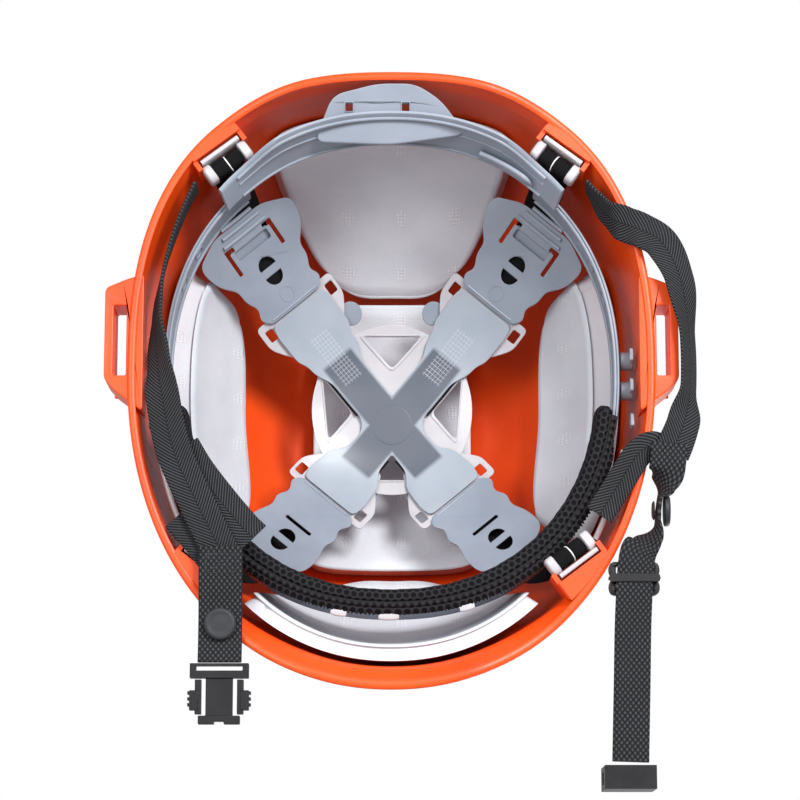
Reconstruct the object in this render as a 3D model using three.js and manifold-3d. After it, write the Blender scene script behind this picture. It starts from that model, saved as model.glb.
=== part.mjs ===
// Arborist safety helmet: shell, foam liner, strap cradle, headband and a four-point chin strap.
// Millimetres, +Z up, crown up, the front at -Y. The origin is the centre of the crown seat, the
// flat underside of the cradle's cross plate. The helmet stands on its rim, straps out on the table.
import * as THREE from 'three';
import { mergeVertices } from 'three/addons/utils/BufferGeometryUtils.js';
import { TessellateModifier } from 'three/addons/modifiers/TessellateModifier.js';
import Module from 'manifold-3d';

const wasm = await Module();
wasm.setup();

// Where the rim's centre lies from the crown seat
const RIM_Y = 7;
const RIM_Z = -100;

// Shell: two half superellipses in plan, a superellipse dome in height
const HALF_WIDTH = 110.5;
const REAR_LENGTH = 127;
const REAR_POWER = 2.5;
const FRONT_LENGTH = 135;
const FRONT_POWER = 2.12;
const SHELL_HEIGHT = 148;
const DOME_POWER = 2.3;
const WALL = 2.6;
const BRIM_FRONT = 6.5;
const BRIM_SIDE = 2;
const BRIM_HEIGHT = 14;
const RIM_ARCH = 8;

// Foam pads: their thicknesses, and how far their backs stand in from the shell's outside
const PAD = 11;
const SIDE_PAD = 12;
const CROWN_PAD = 13;
const CROWN_PAD_FRONT = -71.8;
const CROWN_PAD_REAR = 52.7;
const FRONT_PAD = 7;
const PAD_GAP = 6.2;
const CROWN_GAP = 5.8;
const FRONT_GAP = 13;

// Side loops for accessories, and the blocks in the wall that the anchors snap into
const LOOP_LOW = 9;
const LOOP_HEIGHT = 21;
const SOCKET = [26, 24, 17];
const SOCKET_REACH = 19.6;

// Cradle: a flat crown seat whose arms fall away to the headband
const SEAT_RADIUS = 14;
const ARM_DROP = 0.00638;
const FRONT_STEEPNESS = 1.25;
const ARM_ANGLE = THREE.MathUtils.degToRad(50);
const REAR_JOINT = 66;
const FRONT_JOINT = 44;
const CROTCH = 11;
const PLATE = 1.4;
const PLATE_LEVEL = 0.3;
const RING_RADIUS = 40;
const RING_LEVEL = 2.7;
const RING_THICK = 1.1;
const TAPE_THICK = 1;
const CELL = 15;

// Headband and nape strap, as ellipses about the rim's centre
const BAND_X = 97;
const BAND_Y = 103;
const BAND_SHIFT = 2;
const BAND_LOW = 26;
const BAND_HIGH = 48;
const BAND_WALL = 1.6;
const BAND_POWER = 2.2;
const SWEAT_LOW = 15;
const SWEAT_HIGH = 44;
const SWEAT_THICK = 8;
const NAPE_TOP = 25;
const NAPE_FOOT = 3.5;
const NAPE_THICK = 2;

// Webbing
const WEB = 15;
const WEB_THICK = 1.6;
const LOWER_WEB = 18;
const CAP_RADIUS = 6.6;
const CAP_THICK = 2.4;
const STUD_RADIUS = 4;
const STUD_THICK = 1;
const ANCHOR_HEIGHT = 15;

// Buckle: where its plug lies, where its socket stands, and the ladder lock on the same strap
const PLUG_X = 70;
const SOCKET_X = -97;
const SOCKET_Y = -170;
const LOCK_AT = [-99.7, -89, 2.7];
const LOCK_THICK = 3.4;

// The strap anchors: x, y and which side
const ANCHORS = {
  rear_left: [70, 91, 1],
  rear_right: [-70, 91, -1],
  front_left: [74.5, -77.5, 1],
  front_right: [-74.5, -77.5, -1],
};

const ORANGE = { color: 0xf0581a, roughness: 0.32, metalness: 0 };
const FOAM = { color: 0xdcdbe0, roughness: 0.9, metalness: 0 };
const GREY = { color: 0x949aa6, roughness: 0.55, metalness: 0 };
const MILKY = { color: 0xd8d8da, roughness: 0.4, metalness: 0 };
const WEBBING = { color: 0x35363a, roughness: 0.85, metalness: 0 };
const MESH_CLOTH = { color: 0x242428, roughness: 0.95, metalness: 0 };
const BLACK = { color: 0x1f2024, roughness: 0.45, metalness: 0 };

// ---------------------------------------------------------------- helpers

const helmet = new THREE.Group();
const rim = new THREE.Group();
rim.position.set(0, RIM_Y, RIM_Z);
helmet.add(rim);

// A bare closed geometry: positions only, shared corners merged, faces out.
function closed(geometry) {
  const bare = new THREE.BufferGeometry();
  const source = geometry.index ? geometry.toNonIndexed() : geometry;
  bare.setAttribute('position', source.getAttribute('position').clone());
  const merged = mergeVertices(bare, 1e-4);
  const at = merged.getAttribute('position');
  const index = Array.from(merged.index.array);
  const kept = [];
  let volume = 0;
  const [a, b, c] = [new THREE.Vector3(), new THREE.Vector3(), new THREE.Vector3()];
  for (let i = 0; i < index.length; i += 3) {
    const [p, q, r] = [index[i], index[i + 1], index[i + 2]];
    if (p === q || q === r || r === p) continue;
    kept.push(p, q, r);
    a.fromBufferAttribute(at, p);
    b.fromBufferAttribute(at, q);
    c.fromBufferAttribute(at, r);
    volume += a.dot(b.cross(c));
  }
  merged.setIndex(volume < 0 ? kept.reverse() : kept);
  return merged;
}

function solid(geometry) {
  const whole = closed(geometry);
  const vertProperties = Float32Array.from(whole.getAttribute('position').array);
  const triVerts = Uint32Array.from(whole.index.array);
  return new wasm.Manifold(new wasm.Mesh({ numProp: 3, vertProperties, triVerts }));
}

function fromSolid(body) {
  const mesh = body.getMesh();
  const geometry = new THREE.BufferGeometry();
  geometry.setAttribute('position', new THREE.BufferAttribute(mesh.vertProperties, 3));
  geometry.setIndex(new THREE.BufferAttribute(mesh.triVerts, 1));
  return geometry;
}

function add(parent, name, geometry, look) {
  const mesh = new THREE.Mesh(closed(geometry), new THREE.MeshStandardMaterial(look));
  mesh.name = name;
  parent.add(mesh);
  return mesh;
}

// A box cut into cells and bent: map takes u, v, w from 0 to 1 to a point.
function bent(cellsU, cellsV, cellsW, map) {
  const box = new THREE.BoxGeometry(1, 1, 1, cellsU, cellsV, cellsW);
  const at = box.getAttribute('position');
  for (let i = 0; i < at.count; i += 1) {
    const p = map(at.getX(i) + 0.5, at.getY(i) + 0.5, at.getZ(i) + 0.5);
    at.setXYZ(i, p.x, p.y, p.z);
  }
  return box;
}

function warp(geometry, move) {
  const at = geometry.getAttribute('position');
  const p = new THREE.Vector3();
  for (let i = 0; i < at.count; i += 1) {
    p.fromBufferAttribute(at, i);
    move(p);
    at.setXYZ(i, p.x, p.y, p.z);
  }
  return geometry;
}

// A shape from its corners, run anticlockwise so that its holes cut the right way.
function outlineShape(points) {
  const corners = points.map(([x, y]) => new THREE.Vector2(x, y));
  return new THREE.Shape(THREE.ShapeUtils.isClockWise(corners) ? corners.reverse() : corners);
}

function slab(shape, depth, bottom) {
  const geometry = new THREE.ExtrudeGeometry(shape, { depth, bevelEnabled: false, curveSegments: 8 });
  return geometry.translate(0, 0, bottom);
}

function block(width, length, height, x, y, z) {
  return new THREE.BoxGeometry(width, length, height).translate(x, y, z);
}

const smooth = (t) => {
  const s = Math.min(1, Math.max(0, t));
  return s * s * (3 - 2 * s);
};

const mix = (a, b, t) => a + (b - a) * t;

// Half-plane power curve: a superellipse coordinate from a cosine or a sine.
const bulge = (value, power) => Math.sign(value) * Math.abs(value) ** (2 / power);

// ---------------------------------------------------------------- the shell's surfaces

// The rim outline at an angle (0 is +X, 90 degrees the rear), inset from the outer edge.
function outline(angle, inset = 0) {
  const rear = Math.sin(angle) > 0;
  const power = rear ? REAR_POWER : FRONT_POWER;
  const length = (rear ? REAR_LENGTH : FRONT_LENGTH) - inset;
  return new THREE.Vector2(
    (HALF_WIDTH - inset) * bulge(Math.cos(angle), power),
    length * bulge(Math.sin(angle), power),
  );
}

// How far round from the front or rear middle, 0 there and 1 at the sides.
const sideness = (angle) => Math.acos(Math.min(1, Math.abs(Math.sin(angle)))) / (Math.PI / 2);

const arch = (angle) => RIM_ARCH * smooth((sideness(angle) * 90 - 14) / 24);

function brim(angle) {
  const front = smooth((-Math.sin(angle) - 0.55) / 0.4);
  return mix(BRIM_SIDE, BRIM_FRONT, front) / HALF_WIDTH;
}

// A point of the dome: rise runs from 0 at the rim to 1 at the crown.
function bowl(angle, rise, inset) {
  const lift = rise * Math.PI / 2;
  const spread = Math.cos(lift) ** (2 / DOME_POWER);
  const flat = outline(angle, inset);
  const z = (SHELL_HEIGHT - inset) * Math.sin(lift) ** (2 / DOME_POWER);
  return new THREE.Vector3(flat.x * spread, flat.y * spread, z);
}

// The rise at which the dome stands this high above the rim.
function riseAt(height, inset) {
  const share = Math.min(1, height / (SHELL_HEIGHT - inset));
  return Math.asin(share ** (DOME_POWER / 2)) / (Math.PI / 2);
}

// Profile of the dome as [spread, height], from the crown down to the flare.
function domeProfile(steps, inset) {
  const points = [];
  for (let i = 0; i <= steps; i += 1) {
    const lift = (1 - i / steps) * Math.PI / 2;
    const spread = i === 0 ? 0 : Math.cos(lift) ** (2 / DOME_POWER);
    const z = (SHELL_HEIGHT - inset) * Math.sin(lift) ** (2 / DOME_POWER);
    if (z >= BRIM_HEIGHT + 2) points.push(new THREE.Vector2(spread * (1 - inset / HALF_WIDTH), z));
  }
  return points;
}

// Turns a unit profile round the plan outline, with the flared brim and the arched rim.
function turned(profile, segments) {
  const geometry = new THREE.LatheGeometry(profile, segments).rotateX(Math.PI / 2);
  return warp(geometry, (p) => {
    const spread = Math.hypot(p.x, p.y);
    const angle = Math.atan2(p.y, p.x);
    const drawn = brim(angle) * smooth(p.z / BRIM_HEIGHT) * Math.min(1, spread);
    const flat = outline(angle).multiplyScalar(spread - drawn);
    const raised = arch(angle) * Math.max(0, 1 - p.z / 60);
    p.set(flat.x, flat.y, p.z + raised);
  });
}

function flareProfile(inset) {
  const heights = [BRIM_HEIGHT, 10, 7, 4, 1.6];
  return heights.map((z) => new THREE.Vector2(1 - inset / HALF_WIDTH, z));
}

// The dome as a full body, to trim what stands on the wall.
function domeBody(inset) {
  const foot = new THREE.Vector2(1 - inset / HALF_WIDTH, 0);
  const profile = [...domeProfile(12, inset), ...flareProfile(inset), foot, new THREE.Vector2(0, 0)];
  return solid(turned(profile, 56));
}

function accessoryLoop(side) {
  const frame = outlineShape([
    [107, 39], [114, 37], [120.5, 33], [120.5, -3], [116, -8], [107, -16],
  ]);
  const slot = [[111.6, 26], [116.6, 26], [116.6, -1.5], [111.6, -1.5]];
  frame.holes.push(new THREE.Path(slot.map(([x, y]) => new THREE.Vector2(x, y))));
  return slab(frame, LOOP_HEIGHT, LOOP_LOW).scale(side, 1, 1);
}

function anchorSocket([x, y, side]) {
  const rear = y > 0 ? 1 : -1;
  const turn = Math.atan2(rear * 0.8, side * 0.6);
  const socket = new THREE.BoxGeometry(...SOCKET);
  socket.translate(SOCKET_REACH, 0, 0).rotateZ(turn).translate(x, y, ANCHOR_HEIGHT + 1);
  return socket;
}

function shell() {
  const edge = 1 - 0.9 / HALF_WIDTH;
  const profile = [
    ...domeProfile(12, 0),
    ...flareProfile(0),
    new THREE.Vector2(1, 0.8),
    new THREE.Vector2(edge, 0),
    new THREE.Vector2(1 - (WALL + 0.6) / HALF_WIDTH, 0),
    ...flareProfile(WALL).reverse(),
    ...domeProfile(12, WALL).reverse(),
  ];
  let body = solid(turned(profile, 56));
  const trim = domeBody(0.8);
  for (const side of [1, -1]) body = body.add(solid(accessoryLoop(side)));
  for (const place of Object.values(ANCHORS)) {
    body = body.add(solid(anchorSocket(place)).intersect(trim));
  }
  return fromSolid(body);
}

// ---------------------------------------------------------------- foam liner

// A pad that follows the dome between two angles and two heights.
function domePad(from, to, low, high, inset, thick, soften) {
  return bent(12, 7, 1, (u, v, w) => {
    const angle = THREE.MathUtils.degToRad(mix(from, to, u));
    const taper = 1 - soften * Math.abs(2 * u - 1) ** 3;
    const height = mix(low, low + (high - low) * taper, v);
    const depth = inset + w * thick;
    return bowl(angle, riseAt(height, depth), depth);
  });
}

function crownPad() {
  const inset = CROWN_GAP;
  return bent(8, 12, 1, (u, v, w) => {
    const y = mix(CROWN_PAD_FRONT, CROWN_PAD_REAR, v);
    const half = y < 0 ? mix(36, 45, smooth((-20 - y) / 40)) : mix(30, 36, smooth(1 - y / 60));
    const x = mix(-half, half, u);
    const depth = inset + w * CROWN_PAD;
    const length = (y > 0 ? REAR_LENGTH : FRONT_LENGTH) - depth;
    const power = y > 0 ? REAR_POWER : FRONT_POWER;
    const flat = Math.abs(x / (HALF_WIDTH - depth)) ** power + Math.abs(y / length) ** power;
    const spread = flat ** (1 / power);
    const z = (SHELL_HEIGHT - depth) * (1 - spread ** DOME_POWER) ** (1 / DOME_POWER);
    return new THREE.Vector3(x, y, z);
  });
}

function foamLiner() {
  add(rim, 'eps_rear', domePad(62, 118, 36, 119.5, PAD_GAP, PAD, 0.1), FOAM);
  add(rim, 'eps_front', domePad(-128, -52, 14, 104, FRONT_GAP, FRONT_PAD, 0.62), FOAM);
  add(rim, 'eps_left', domePad(-33, 25, 57, 101, PAD_GAP, SIDE_PAD, 0.25), FOAM);
  add(rim, 'eps_right', domePad(155, 213, 57, 101, PAD_GAP, SIDE_PAD, 0.25), FOAM);
  add(rim, 'eps_crown', crownPad(), FOAM);
}

// ---------------------------------------------------------------- cradle

// How far the cradle has fallen below the crown seat at a plan point.
function fall(x, y) {
  const reach = Math.hypot(x, y < 0 ? y * FRONT_STEEPNESS : y);
  return ARM_DROP * Math.max(0, reach - SEAT_RADIUS) ** 2;
}

function drape(body) {
  const fine = new TessellateModifier(CELL, 12).modify(fromSolid(body));
  return warp(fine, (p) => {
    p.z -= fall(p.x, p.y);
  });
}

const ARMS = [
  { name: 'rear_left', angle: ARM_ANGLE, joint: REAR_JOINT, rear: true },
  { name: 'rear_right', angle: Math.PI - ARM_ANGLE, joint: REAR_JOINT, rear: true },
  { name: 'front_right', angle: Math.PI + ARM_ANGLE, joint: FRONT_JOINT, rear: false },
  { name: 'front_left', angle: -ARM_ANGLE, joint: FRONT_JOINT, rear: false },
];

// A point given along and across an arm.
function onArm(arm, along, across) {
  const [c, s] = [Math.cos(arm.angle), Math.sin(arm.angle)];
  return [along * c - across * s, along * s + across * c];
}

function armOutline(arm, edge) {
  const right = edge.map(([along, half]) => onArm(arm, along, -half));
  const left = edge.map(([along, half]) => onArm(arm, along, half)).reverse();
  return [...right, ...left];
}

function crossPlate() {
  const outlinePoints = ARMS.flatMap((arm) => {
    const end = arm.joint - 0.4;
    const waist = arm.rear
      ? [[end - 34, 8.6], [end - 27, 12], [end - 22, 12.6], [end - 18, 14.8]]
      : [[end - 23, 9], [end - 17, 14]];
    return armOutline(arm, [[CROTCH, 8.5], ...waist, [end - 5, 15.2], [end, 14]]);
  });
  const plate = solid(slab(outlineShape(outlinePoints), PLATE, PLATE_LEVEL));
  const seat = solid(new THREE.CylinderGeometry(9, 9, 1, 32).rotateX(Math.PI / 2).translate(0, 0, 0.5));
  return drape(plate.add(seat));
}

function ringPlate() {
  const level = RING_LEVEL;
  const thick = RING_THICK;
  const ring = new THREE.CylinderGeometry(RING_RADIUS, RING_RADIUS, thick, 40).rotateX(Math.PI / 2);
  let body = solid(ring.translate(0, 2, level + thick / 2));
  for (const arm of ARMS) {
    const end = arm.joint;
    const tongue = outlineShape(armOutline(arm, [[10, 11], [end - 8, 11], [end - 8, 21], [end + 3, 21]]));
    body = body.add(solid(slab(tongue, thick, level)));
  }
  const windows = [
    [[-11, 36], [11, 36], [0, 24]],
    [[32, 20], [20, 6.5], [31, -6]],
    [[-32, 20], [-20, 6.5], [-31, -6]],
    [[-9, -25], [9, -25], [0, -13]],
  ];
  for (const corners of windows) {
    body = body.subtract(solid(slab(outlineShape(corners), thick + 2, level - 1)));
  }
  for (const arm of ARMS) {
    for (const side of [-1, 1]) {
      const end = arm.joint;
      const hole = [[end - 5, 15], [end, 15], [end, 19], [end - 5, 19]];
      const corners = hole.map(([along, across]) => onArm(arm, along, side * across));
      body = body.subtract(solid(slab(outlineShape(corners), thick + 2, level - 1)));
    }
  }
  return drape(body);
}

function disc(radius, height, x, y, z) {
  return new THREE.CylinderGeometry(radius, radius, height, 16).rotateX(Math.PI / 2).translate(x, y, z);
}

function leg(arm) {
  const start = arm.joint + 0.4;
  const edge = arm.rear
    ? [
      [start, 14], [start + 4, 17], [start + 8, 14.5], [start + 13, 17.5], [start + 18, 17.5],
      [start + 24, 24], [start + 33, 26], [start + 38.5, 13], [start + 41, 0],
    ]
    : [
      [start, 14], [start + 4, 17.5], [start + 9, 14], [start + 14, 17], [start + 19, 15],
      [start + 27, 18], [start + 36, 17.5], [start + 40, 10], [start + 41, 0],
    ];
  let body = solid(slab(outlineShape(armOutline(arm, edge)), PLATE, PLATE_LEVEL));
  const holes = arm.rear
    ? [[start + 12, 3.4, 3], [start + 12, -3.4, 3]]
    : [[start + 30, 4, 2.8], [start + 30, -4, 2.8]];
  for (const [along, across, radius] of holes) {
    const [x, y] = onArm(arm, along, across);
    body = body.subtract(solid(disc(radius, 4, x, y, 1)));
  }
  const slots = arm.rear
    ? [[start + 21, start + 24, -10, 8], [start + 27, start + 29, -14, 2], [start + 31, start + 33, -10, 12]]
    : [[start + 20, start + 22.5, -8, 8]];
  for (const [from, to, low, high] of slots) {
    const corners = [[from, low], [to, low], [to, high], [from, high]];
    const cut = outlineShape(corners.map(([along, across]) => onArm(arm, along, across)));
    body = body.subtract(solid(slab(cut, 4, -1)));
  }
  return drape(body);
}

// A tape that crosses the crown between two opposite anchors, over the cradle's plates.
function cradleTape(front, rear, level) {
  const stations = [];
  for (const arm of [front, rear]) {
    const anchor = ANCHORS[arm.name];
    const reach = Math.hypot(anchor[0], anchor[1] + RIM_Y);
    const turn = Math.atan2(anchor[1] + RIM_Y, anchor[0]);
    const path = [[24, level], [44, level], [64, level + 1]].map(([along, above]) => {
      const [x, y] = onArm(arm, along, 0);
      return new THREE.Vector3(x, y, above - fall(x, y));
    });
    const [x, y] = onArm(arm, 88, 0);
    path.push(new THREE.Vector3(x, y, RIM_Z + 69));
    path.push(new THREE.Vector3(Math.cos(turn) * (reach - 4.5), Math.sin(turn) * (reach - 4.5), RIM_Z + 54));
    path.push(new THREE.Vector3(Math.cos(turn) * reach, Math.sin(turn) * reach, RIM_Z + 36));
    path.push(new THREE.Vector3(Math.cos(turn) * reach, Math.sin(turn) * reach, RIM_Z + 23));
    stations.push(path);
  }
  const points = [...stations[0].reverse(), new THREE.Vector3(0, 0, level), ...stations[1]];
  return ribbon(points, () => 0, WEB, TAPE_THICK, 36);
}

// Webbing along a smooth curve. roll turns it about its run, 0 flat and 90 on edge.
function ribbon(points, roll, width, thick, cells) {
  const curve = new THREE.CatmullRomCurve3(points, false, 'centripetal');
  const level = curve.getPoint(1).sub(curve.getPoint(0)).setZ(0).normalize();
  const across = new THREE.Vector3(level.y, -level.x, 0);
  return bent(cells, 1, 1, (u, v, w) => {
    const along = curve.getTangent(u);
    const flatRun = Math.hypot(along.x, along.y);
    const side = flatRun > 0.35 ? new THREE.Vector3(along.y, -along.x, 0).normalize() : across.clone();
    side.addScaledVector(along, -side.dot(along)).normalize();
    side.applyAxisAngle(along, THREE.MathUtils.degToRad(roll(u)));
    const face = new THREE.Vector3().crossVectors(side, along);
    const p = curve.getPoint(u);
    p.addScaledVector(side, (v - 0.5) * width);
    return p.addScaledVector(face, (w - 0.5) * thick);
  });
}

function cradle() {
  add(helmet, 'cross_plate', crossPlate(), GREY);
  add(helmet, 'ring_plate', ringPlate(), MILKY);
  add(helmet, 'cradle_tape_lower', cradleTape(ARMS[2], ARMS[0], 5), WEBBING);
  add(helmet, 'cradle_tape_upper', cradleTape(ARMS[3], ARMS[1], 7), WEBBING);
  for (const arm of ARMS) add(helmet, `leg_${arm.name}`, leg(arm), GREY);
}

// ---------------------------------------------------------------- headband

function bandPoint(degrees, inset, height, spreadX = 0, spreadY = 0) {
  const angle = THREE.MathUtils.degToRad(degrees);
  const x = (BAND_X + spreadX - inset) * bulge(Math.cos(angle), BAND_POWER);
  const y = (BAND_Y + spreadY - inset) * bulge(Math.sin(angle), BAND_POWER);
  return new THREE.Vector3(x, BAND_SHIFT + y, height);
}

// Open at the back, where the nape strap closes it.
function headband() {
  return bent(44, 1, 1, (u, v, w) => (
    bandPoint(mix(128, 412, u), (1 - w) * BAND_WALL, mix(BAND_LOW, BAND_HIGH, v))
  ));
}

// A band that slopes out and down at the nape, with a pull tab and lugs on its lower edge.
function napeStrap() {
  const onBand = (u, v, w) => {
    const low = NAPE_FOOT + 9 * smooth((Math.abs(2 * u - 1) - 0.55) / 0.3);
    const height = mix(low, NAPE_TOP, v);
    return bandPoint(mix(43, 137, u), (1 - w) * NAPE_THICK, height, mix(1, -3, v), mix(6, -2, v));
  };
  let body = solid(bent(22, 1, 1, onBand));
  const tab = outlineShape([[33, 99], [25, 117.5], [6, 122], [-10, 122], [-21, 115.5], [-32, 102]]);
  const plate = warp(slab(tab, 2, 0), (p) => {
    p.z += 3 + (118 - p.y) * 0.42;
  });
  body = body.add(solid(plate));
  for (const x of [-8, 17]) body = body.subtract(solid(block(2.6, 3, 20, x, 112.5, 8)));
  for (const degrees of [59, 65, 71, 77]) {
    const p = bandPoint(degrees, 2.6, 9, 1, 5.5);
    body = body.add(solid(new THREE.SphereGeometry(2.6, 8, 6).translate(p.x, p.y, p.z)));
  }
  return fromSolid(body);
}

function sweatband() {
  return bent(28, 4, 1, (u, v, w) => {
    const belly = Math.sqrt(1 - 0.75 * (2 * v - 1) ** 2);
    const inset = BAND_WALL + 0.4 + (1 - w) * SWEAT_THICK * belly;
    return bandPoint(mix(190, 350, u), inset, mix(SWEAT_LOW, SWEAT_HIGH, v));
  });
}

// A short eyelet that keys the headband to the shell's side.
function sideClip(side, y) {
  const ring = [[2, 0], [4, 0], [4, 5.2], [2, 5.2], [2, 0]].map(([r, h]) => new THREE.Vector2(r, h));
  const clip = new THREE.LatheGeometry(ring, 12).rotateZ(-side * Math.PI / 2);
  return clip.translate(side * (BAND_X + 0.4), y, 32);
}

// A curved bar inside the wall that keeps the strap's front leg in line.
function hangerBar(side) {
  return bent(8, 1, 1, (u, v, w) => {
    const p = outline(THREE.MathUtils.degToRad(mix(-33, -14, u)), 9 + 2.5 * w);
    return new THREE.Vector3(side * p.x, p.y, 19 + 3 * v);
  });
}

function headGear() {
  add(rim, 'headband', headband(), GREY);
  add(rim, 'nape_strap', napeStrap(), GREY);
  add(rim, 'sweatband', sweatband(), MESH_CLOTH);
  for (const [label, side] of [['left', 1], ['right', -1]]) {
    add(rim, `side_clip_${label}_rear`, sideClip(side, 8), GREY);
    add(rim, `side_clip_${label}_front`, sideClip(side, -5), GREY);
    add(rim, `hanger_bar_${label}`, hangerBar(side), MILKY);
  }
}

// ---------------------------------------------------------------- anchors

// In an anchor's own frame +X points out to the wall and Y runs along its bar.
function anchorFrame([x, y, side]) {
  const rear = y > 0 ? 1 : -1;
  const frame = new THREE.Group();
  frame.position.set(x, y, ANCHOR_HEIGHT);
  frame.rotation.z = Math.atan2(rear * 0.8, side * 0.6);
  return frame;
}

function anchorClip() {
  let body = solid(block(2, 20, 12, 5, 0, 0));
  for (const side of [1, -1]) body = body.add(solid(block(9.5, 2.8, 10, 0.4, side * 8.6, 0)));
  const bar = new THREE.CylinderGeometry(1.8, 1.8, 17, 12).translate(-0.6, 0, 0);
  return fromSolid(body.add(solid(bar)));
}

// The tape's stitched loop round the bar.
function anchorLoop() {
  const wide = new THREE.Shape();
  wide.absarc(0, 0, 3.6, Math.PI, 0, false);
  wide.absarc(0, 3, 3.6, 0, Math.PI, false);
  const hole = new THREE.Path();
  hole.absarc(0, 0, 2.2, Math.PI, 0, false);
  hole.absarc(0, 3, 2.2, 0, Math.PI, false);
  wide.holes.push(hole);
  const loop = new THREE.ExtrudeGeometry(wide, { depth: 14, bevelEnabled: false, curveSegments: 4 });
  return loop.translate(0, 0, -7).rotateX(Math.PI / 2).translate(-0.6, 0, 0);
}

function anchors() {
  for (const [name, place] of Object.entries(ANCHORS)) {
    const frame = anchorFrame(place);
    rim.add(frame);
    add(frame, `anchor_clip_${name}`, anchorClip(), MILKY);
    add(frame, `anchor_loop_${name}`, anchorLoop(), WEBBING);
  }
}

// ---------------------------------------------------------------- chin strap

// Webbing laid through stations of [x, y, height, roll], heights above the table.
function strap(stations, width, cells) {
  const points = stations.map(([x, y, z]) => new THREE.Vector3(x, y, z));
  const last = stations.length - 1;
  const roll = (u) => {
    const at = Math.min(last - 1, Math.floor(u * last));
    return mix(stations[at][3], stations[at + 1][3], smooth(u * last - at));
  };
  return ribbon(points, roll, width, WEB_THICK, cells);
}

function leftStrap() {
  add(rim, 'left_yoke_rear_leg', strap([
    [83, 80, 13, 90], [90, 64, 13, 88], [96, 44, 12.5, 84], [98.5, 24, 11, 74], [97.5, 5, 8.5, 50],
    [95, -14, 6, 15], [90, -36, 5, 8], [80, -58, 4.2, 5], [69, -80, 3.4, 0],
  ], WEB, 35), WEBBING);
  add(rim, 'left_yoke_front_leg', strap([
    [88, -62, 8.4, 0], [79, -72, 7, 0], [72, -81, 5.6, 0],
  ], WEB, 6), WEBBING);
  add(rim, 'left_yoke_fold', strap([
    [87, -33, 9.8, 0], [81, -43, 8.6, 0], [72, -55, 6.6, 0], [62, -67, 5.6, 0], [57, -72, 5.2, 0],
  ], WEB, 14), WEBBING);
  add(rim, 'left_lower_strap', strap([
    [PLUG_X, -76, 1.4, 0], [PLUG_X, -88, 1.8, 0], [PLUG_X, -99, 3.8, 0], [PLUG_X, -108, 4.3, 0],
    [PLUG_X, -116, 3.9, 0], [PLUG_X, -123.4, 2.4, 0],
  ], LOWER_WEB, 12), WEBBING);
  add(rim, 'left_snap_cap', disc(CAP_RADIUS, CAP_THICK, PLUG_X, -107.8, 1.6), BLACK);
  add(rim, 'left_snap_stud', disc(STUD_RADIUS, STUD_THICK, PLUG_X, -107.8, 5.9), BLACK);
}

function rightStrap() {
  add(rim, 'right_yoke_rear_leg', strap([
    [-83, 80, 13, 90], [-91, 68, 11, 70], [-98, 62, 6.6, 25], [-106, 58, 4, 0], [-114, 52, 3.6, -5],
    [-121, 37, 5.5, -30], [-124, 14, 8.4, -62], [-124, -8, 8.4, -62], [-121.5, -23, 5.8, -20],
    [-116, -37, 3.4, 0],
  ], WEB, 40), WEBBING);
  add(rim, 'right_yoke_front_leg', strap([
    [-86, -62, 7, 0], [-95, -48, 6.4, 0], [-102, -37, 6, 0], [-108, -33, 5.8, 0], [-112, -35, 5.6, 0],
  ], WEB - 3, 20), WEBBING);
  add(rim, 'right_lower_strap', strap([
    [-115, -33, 1.4, 0], [-114, -43, 1.8, 0], [-112.6, -49, 6, 50], [-111.4, -54, 8.4, 90],
    [-110.5, -60, 8.4, 90], [-109.8, -66, 8.4, 90], [-105.5, -73, 5.4, 45], [-101, -80, 1.6, 0],
    [-99, -104, 1.3, 0], [-98, -134, 1.3, 0], [-97, -164, 1.3, 0],
  ], WEB, 45), WEBBING);
  const cap = disc(CAP_RADIUS, CAP_THICK, 0, 0, 0).rotateY(Math.PI / 2);
  add(rim, 'right_snap_cap', cap.translate(-114, -60, 8.4), BLACK);
  const stud = disc(STUD_RADIUS, STUD_THICK, 0, 0, 0).rotateY(Math.PI / 2);
  add(rim, 'right_snap_stud', stud.translate(-108.4, -60, 8.4), BLACK);
}

// ---------------------------------------------------------------- buckle and ladder lock

// The plug half: a bar for the strap, a guide plate and a foot.
function bucklePlug() {
  let body = solid(block(24, 6, 5, 0, -127, 2.9));
  body = body.subtract(solid(block(19, 2, 8, 0, -126, 2.9)));
  body = body.add(solid(block(11, 19, 3.4, 0, -138, 3.1)));
  body = body.add(solid(block(17, 3.4, 4.6, 0, -147, 2.9)));
  return fromSolid(body.subtract(solid(block(4, 2, 8, 0, -148.6, 2.9))));
}

// A squeeze arm of the plug, with a ribbed grip outside.
function plugArm(side) {
  let body = solid(block(2.6, 14, 4, side * 8.6, -137.6, 3.1));
  body = body.add(solid(block(3.4, 8, 4.6, side * 10.4, -139, 3.1)));
  for (const y of [-136, -138.4, -140.8]) {
    body = body.add(solid(block(1, 1.2, 4.6, side * 12.4, y, 3.1)));
  }
  return fromSolid(body);
}

// The socket half stands on end at its strap: hollow, with two side windows.
function buckleSocket() {
  const outside = block(21, 9.6, 23.6, SOCKET_X, SOCKET_Y, 12.2);
  const mouth = block(17, 6, 18, SOCKET_X, SOCKET_Y, 15.6);
  const windows = block(30, 5, 8, SOCKET_X, SOCKET_Y, 13);
  const strapSlot = block(15, 4, 3, SOCKET_X, SOCKET_Y + 4, 4);
  return fromSolid(solid(outside).subtract(solid(mouth)).subtract(solid(windows)).subtract(solid(strapSlot)));
}

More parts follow.
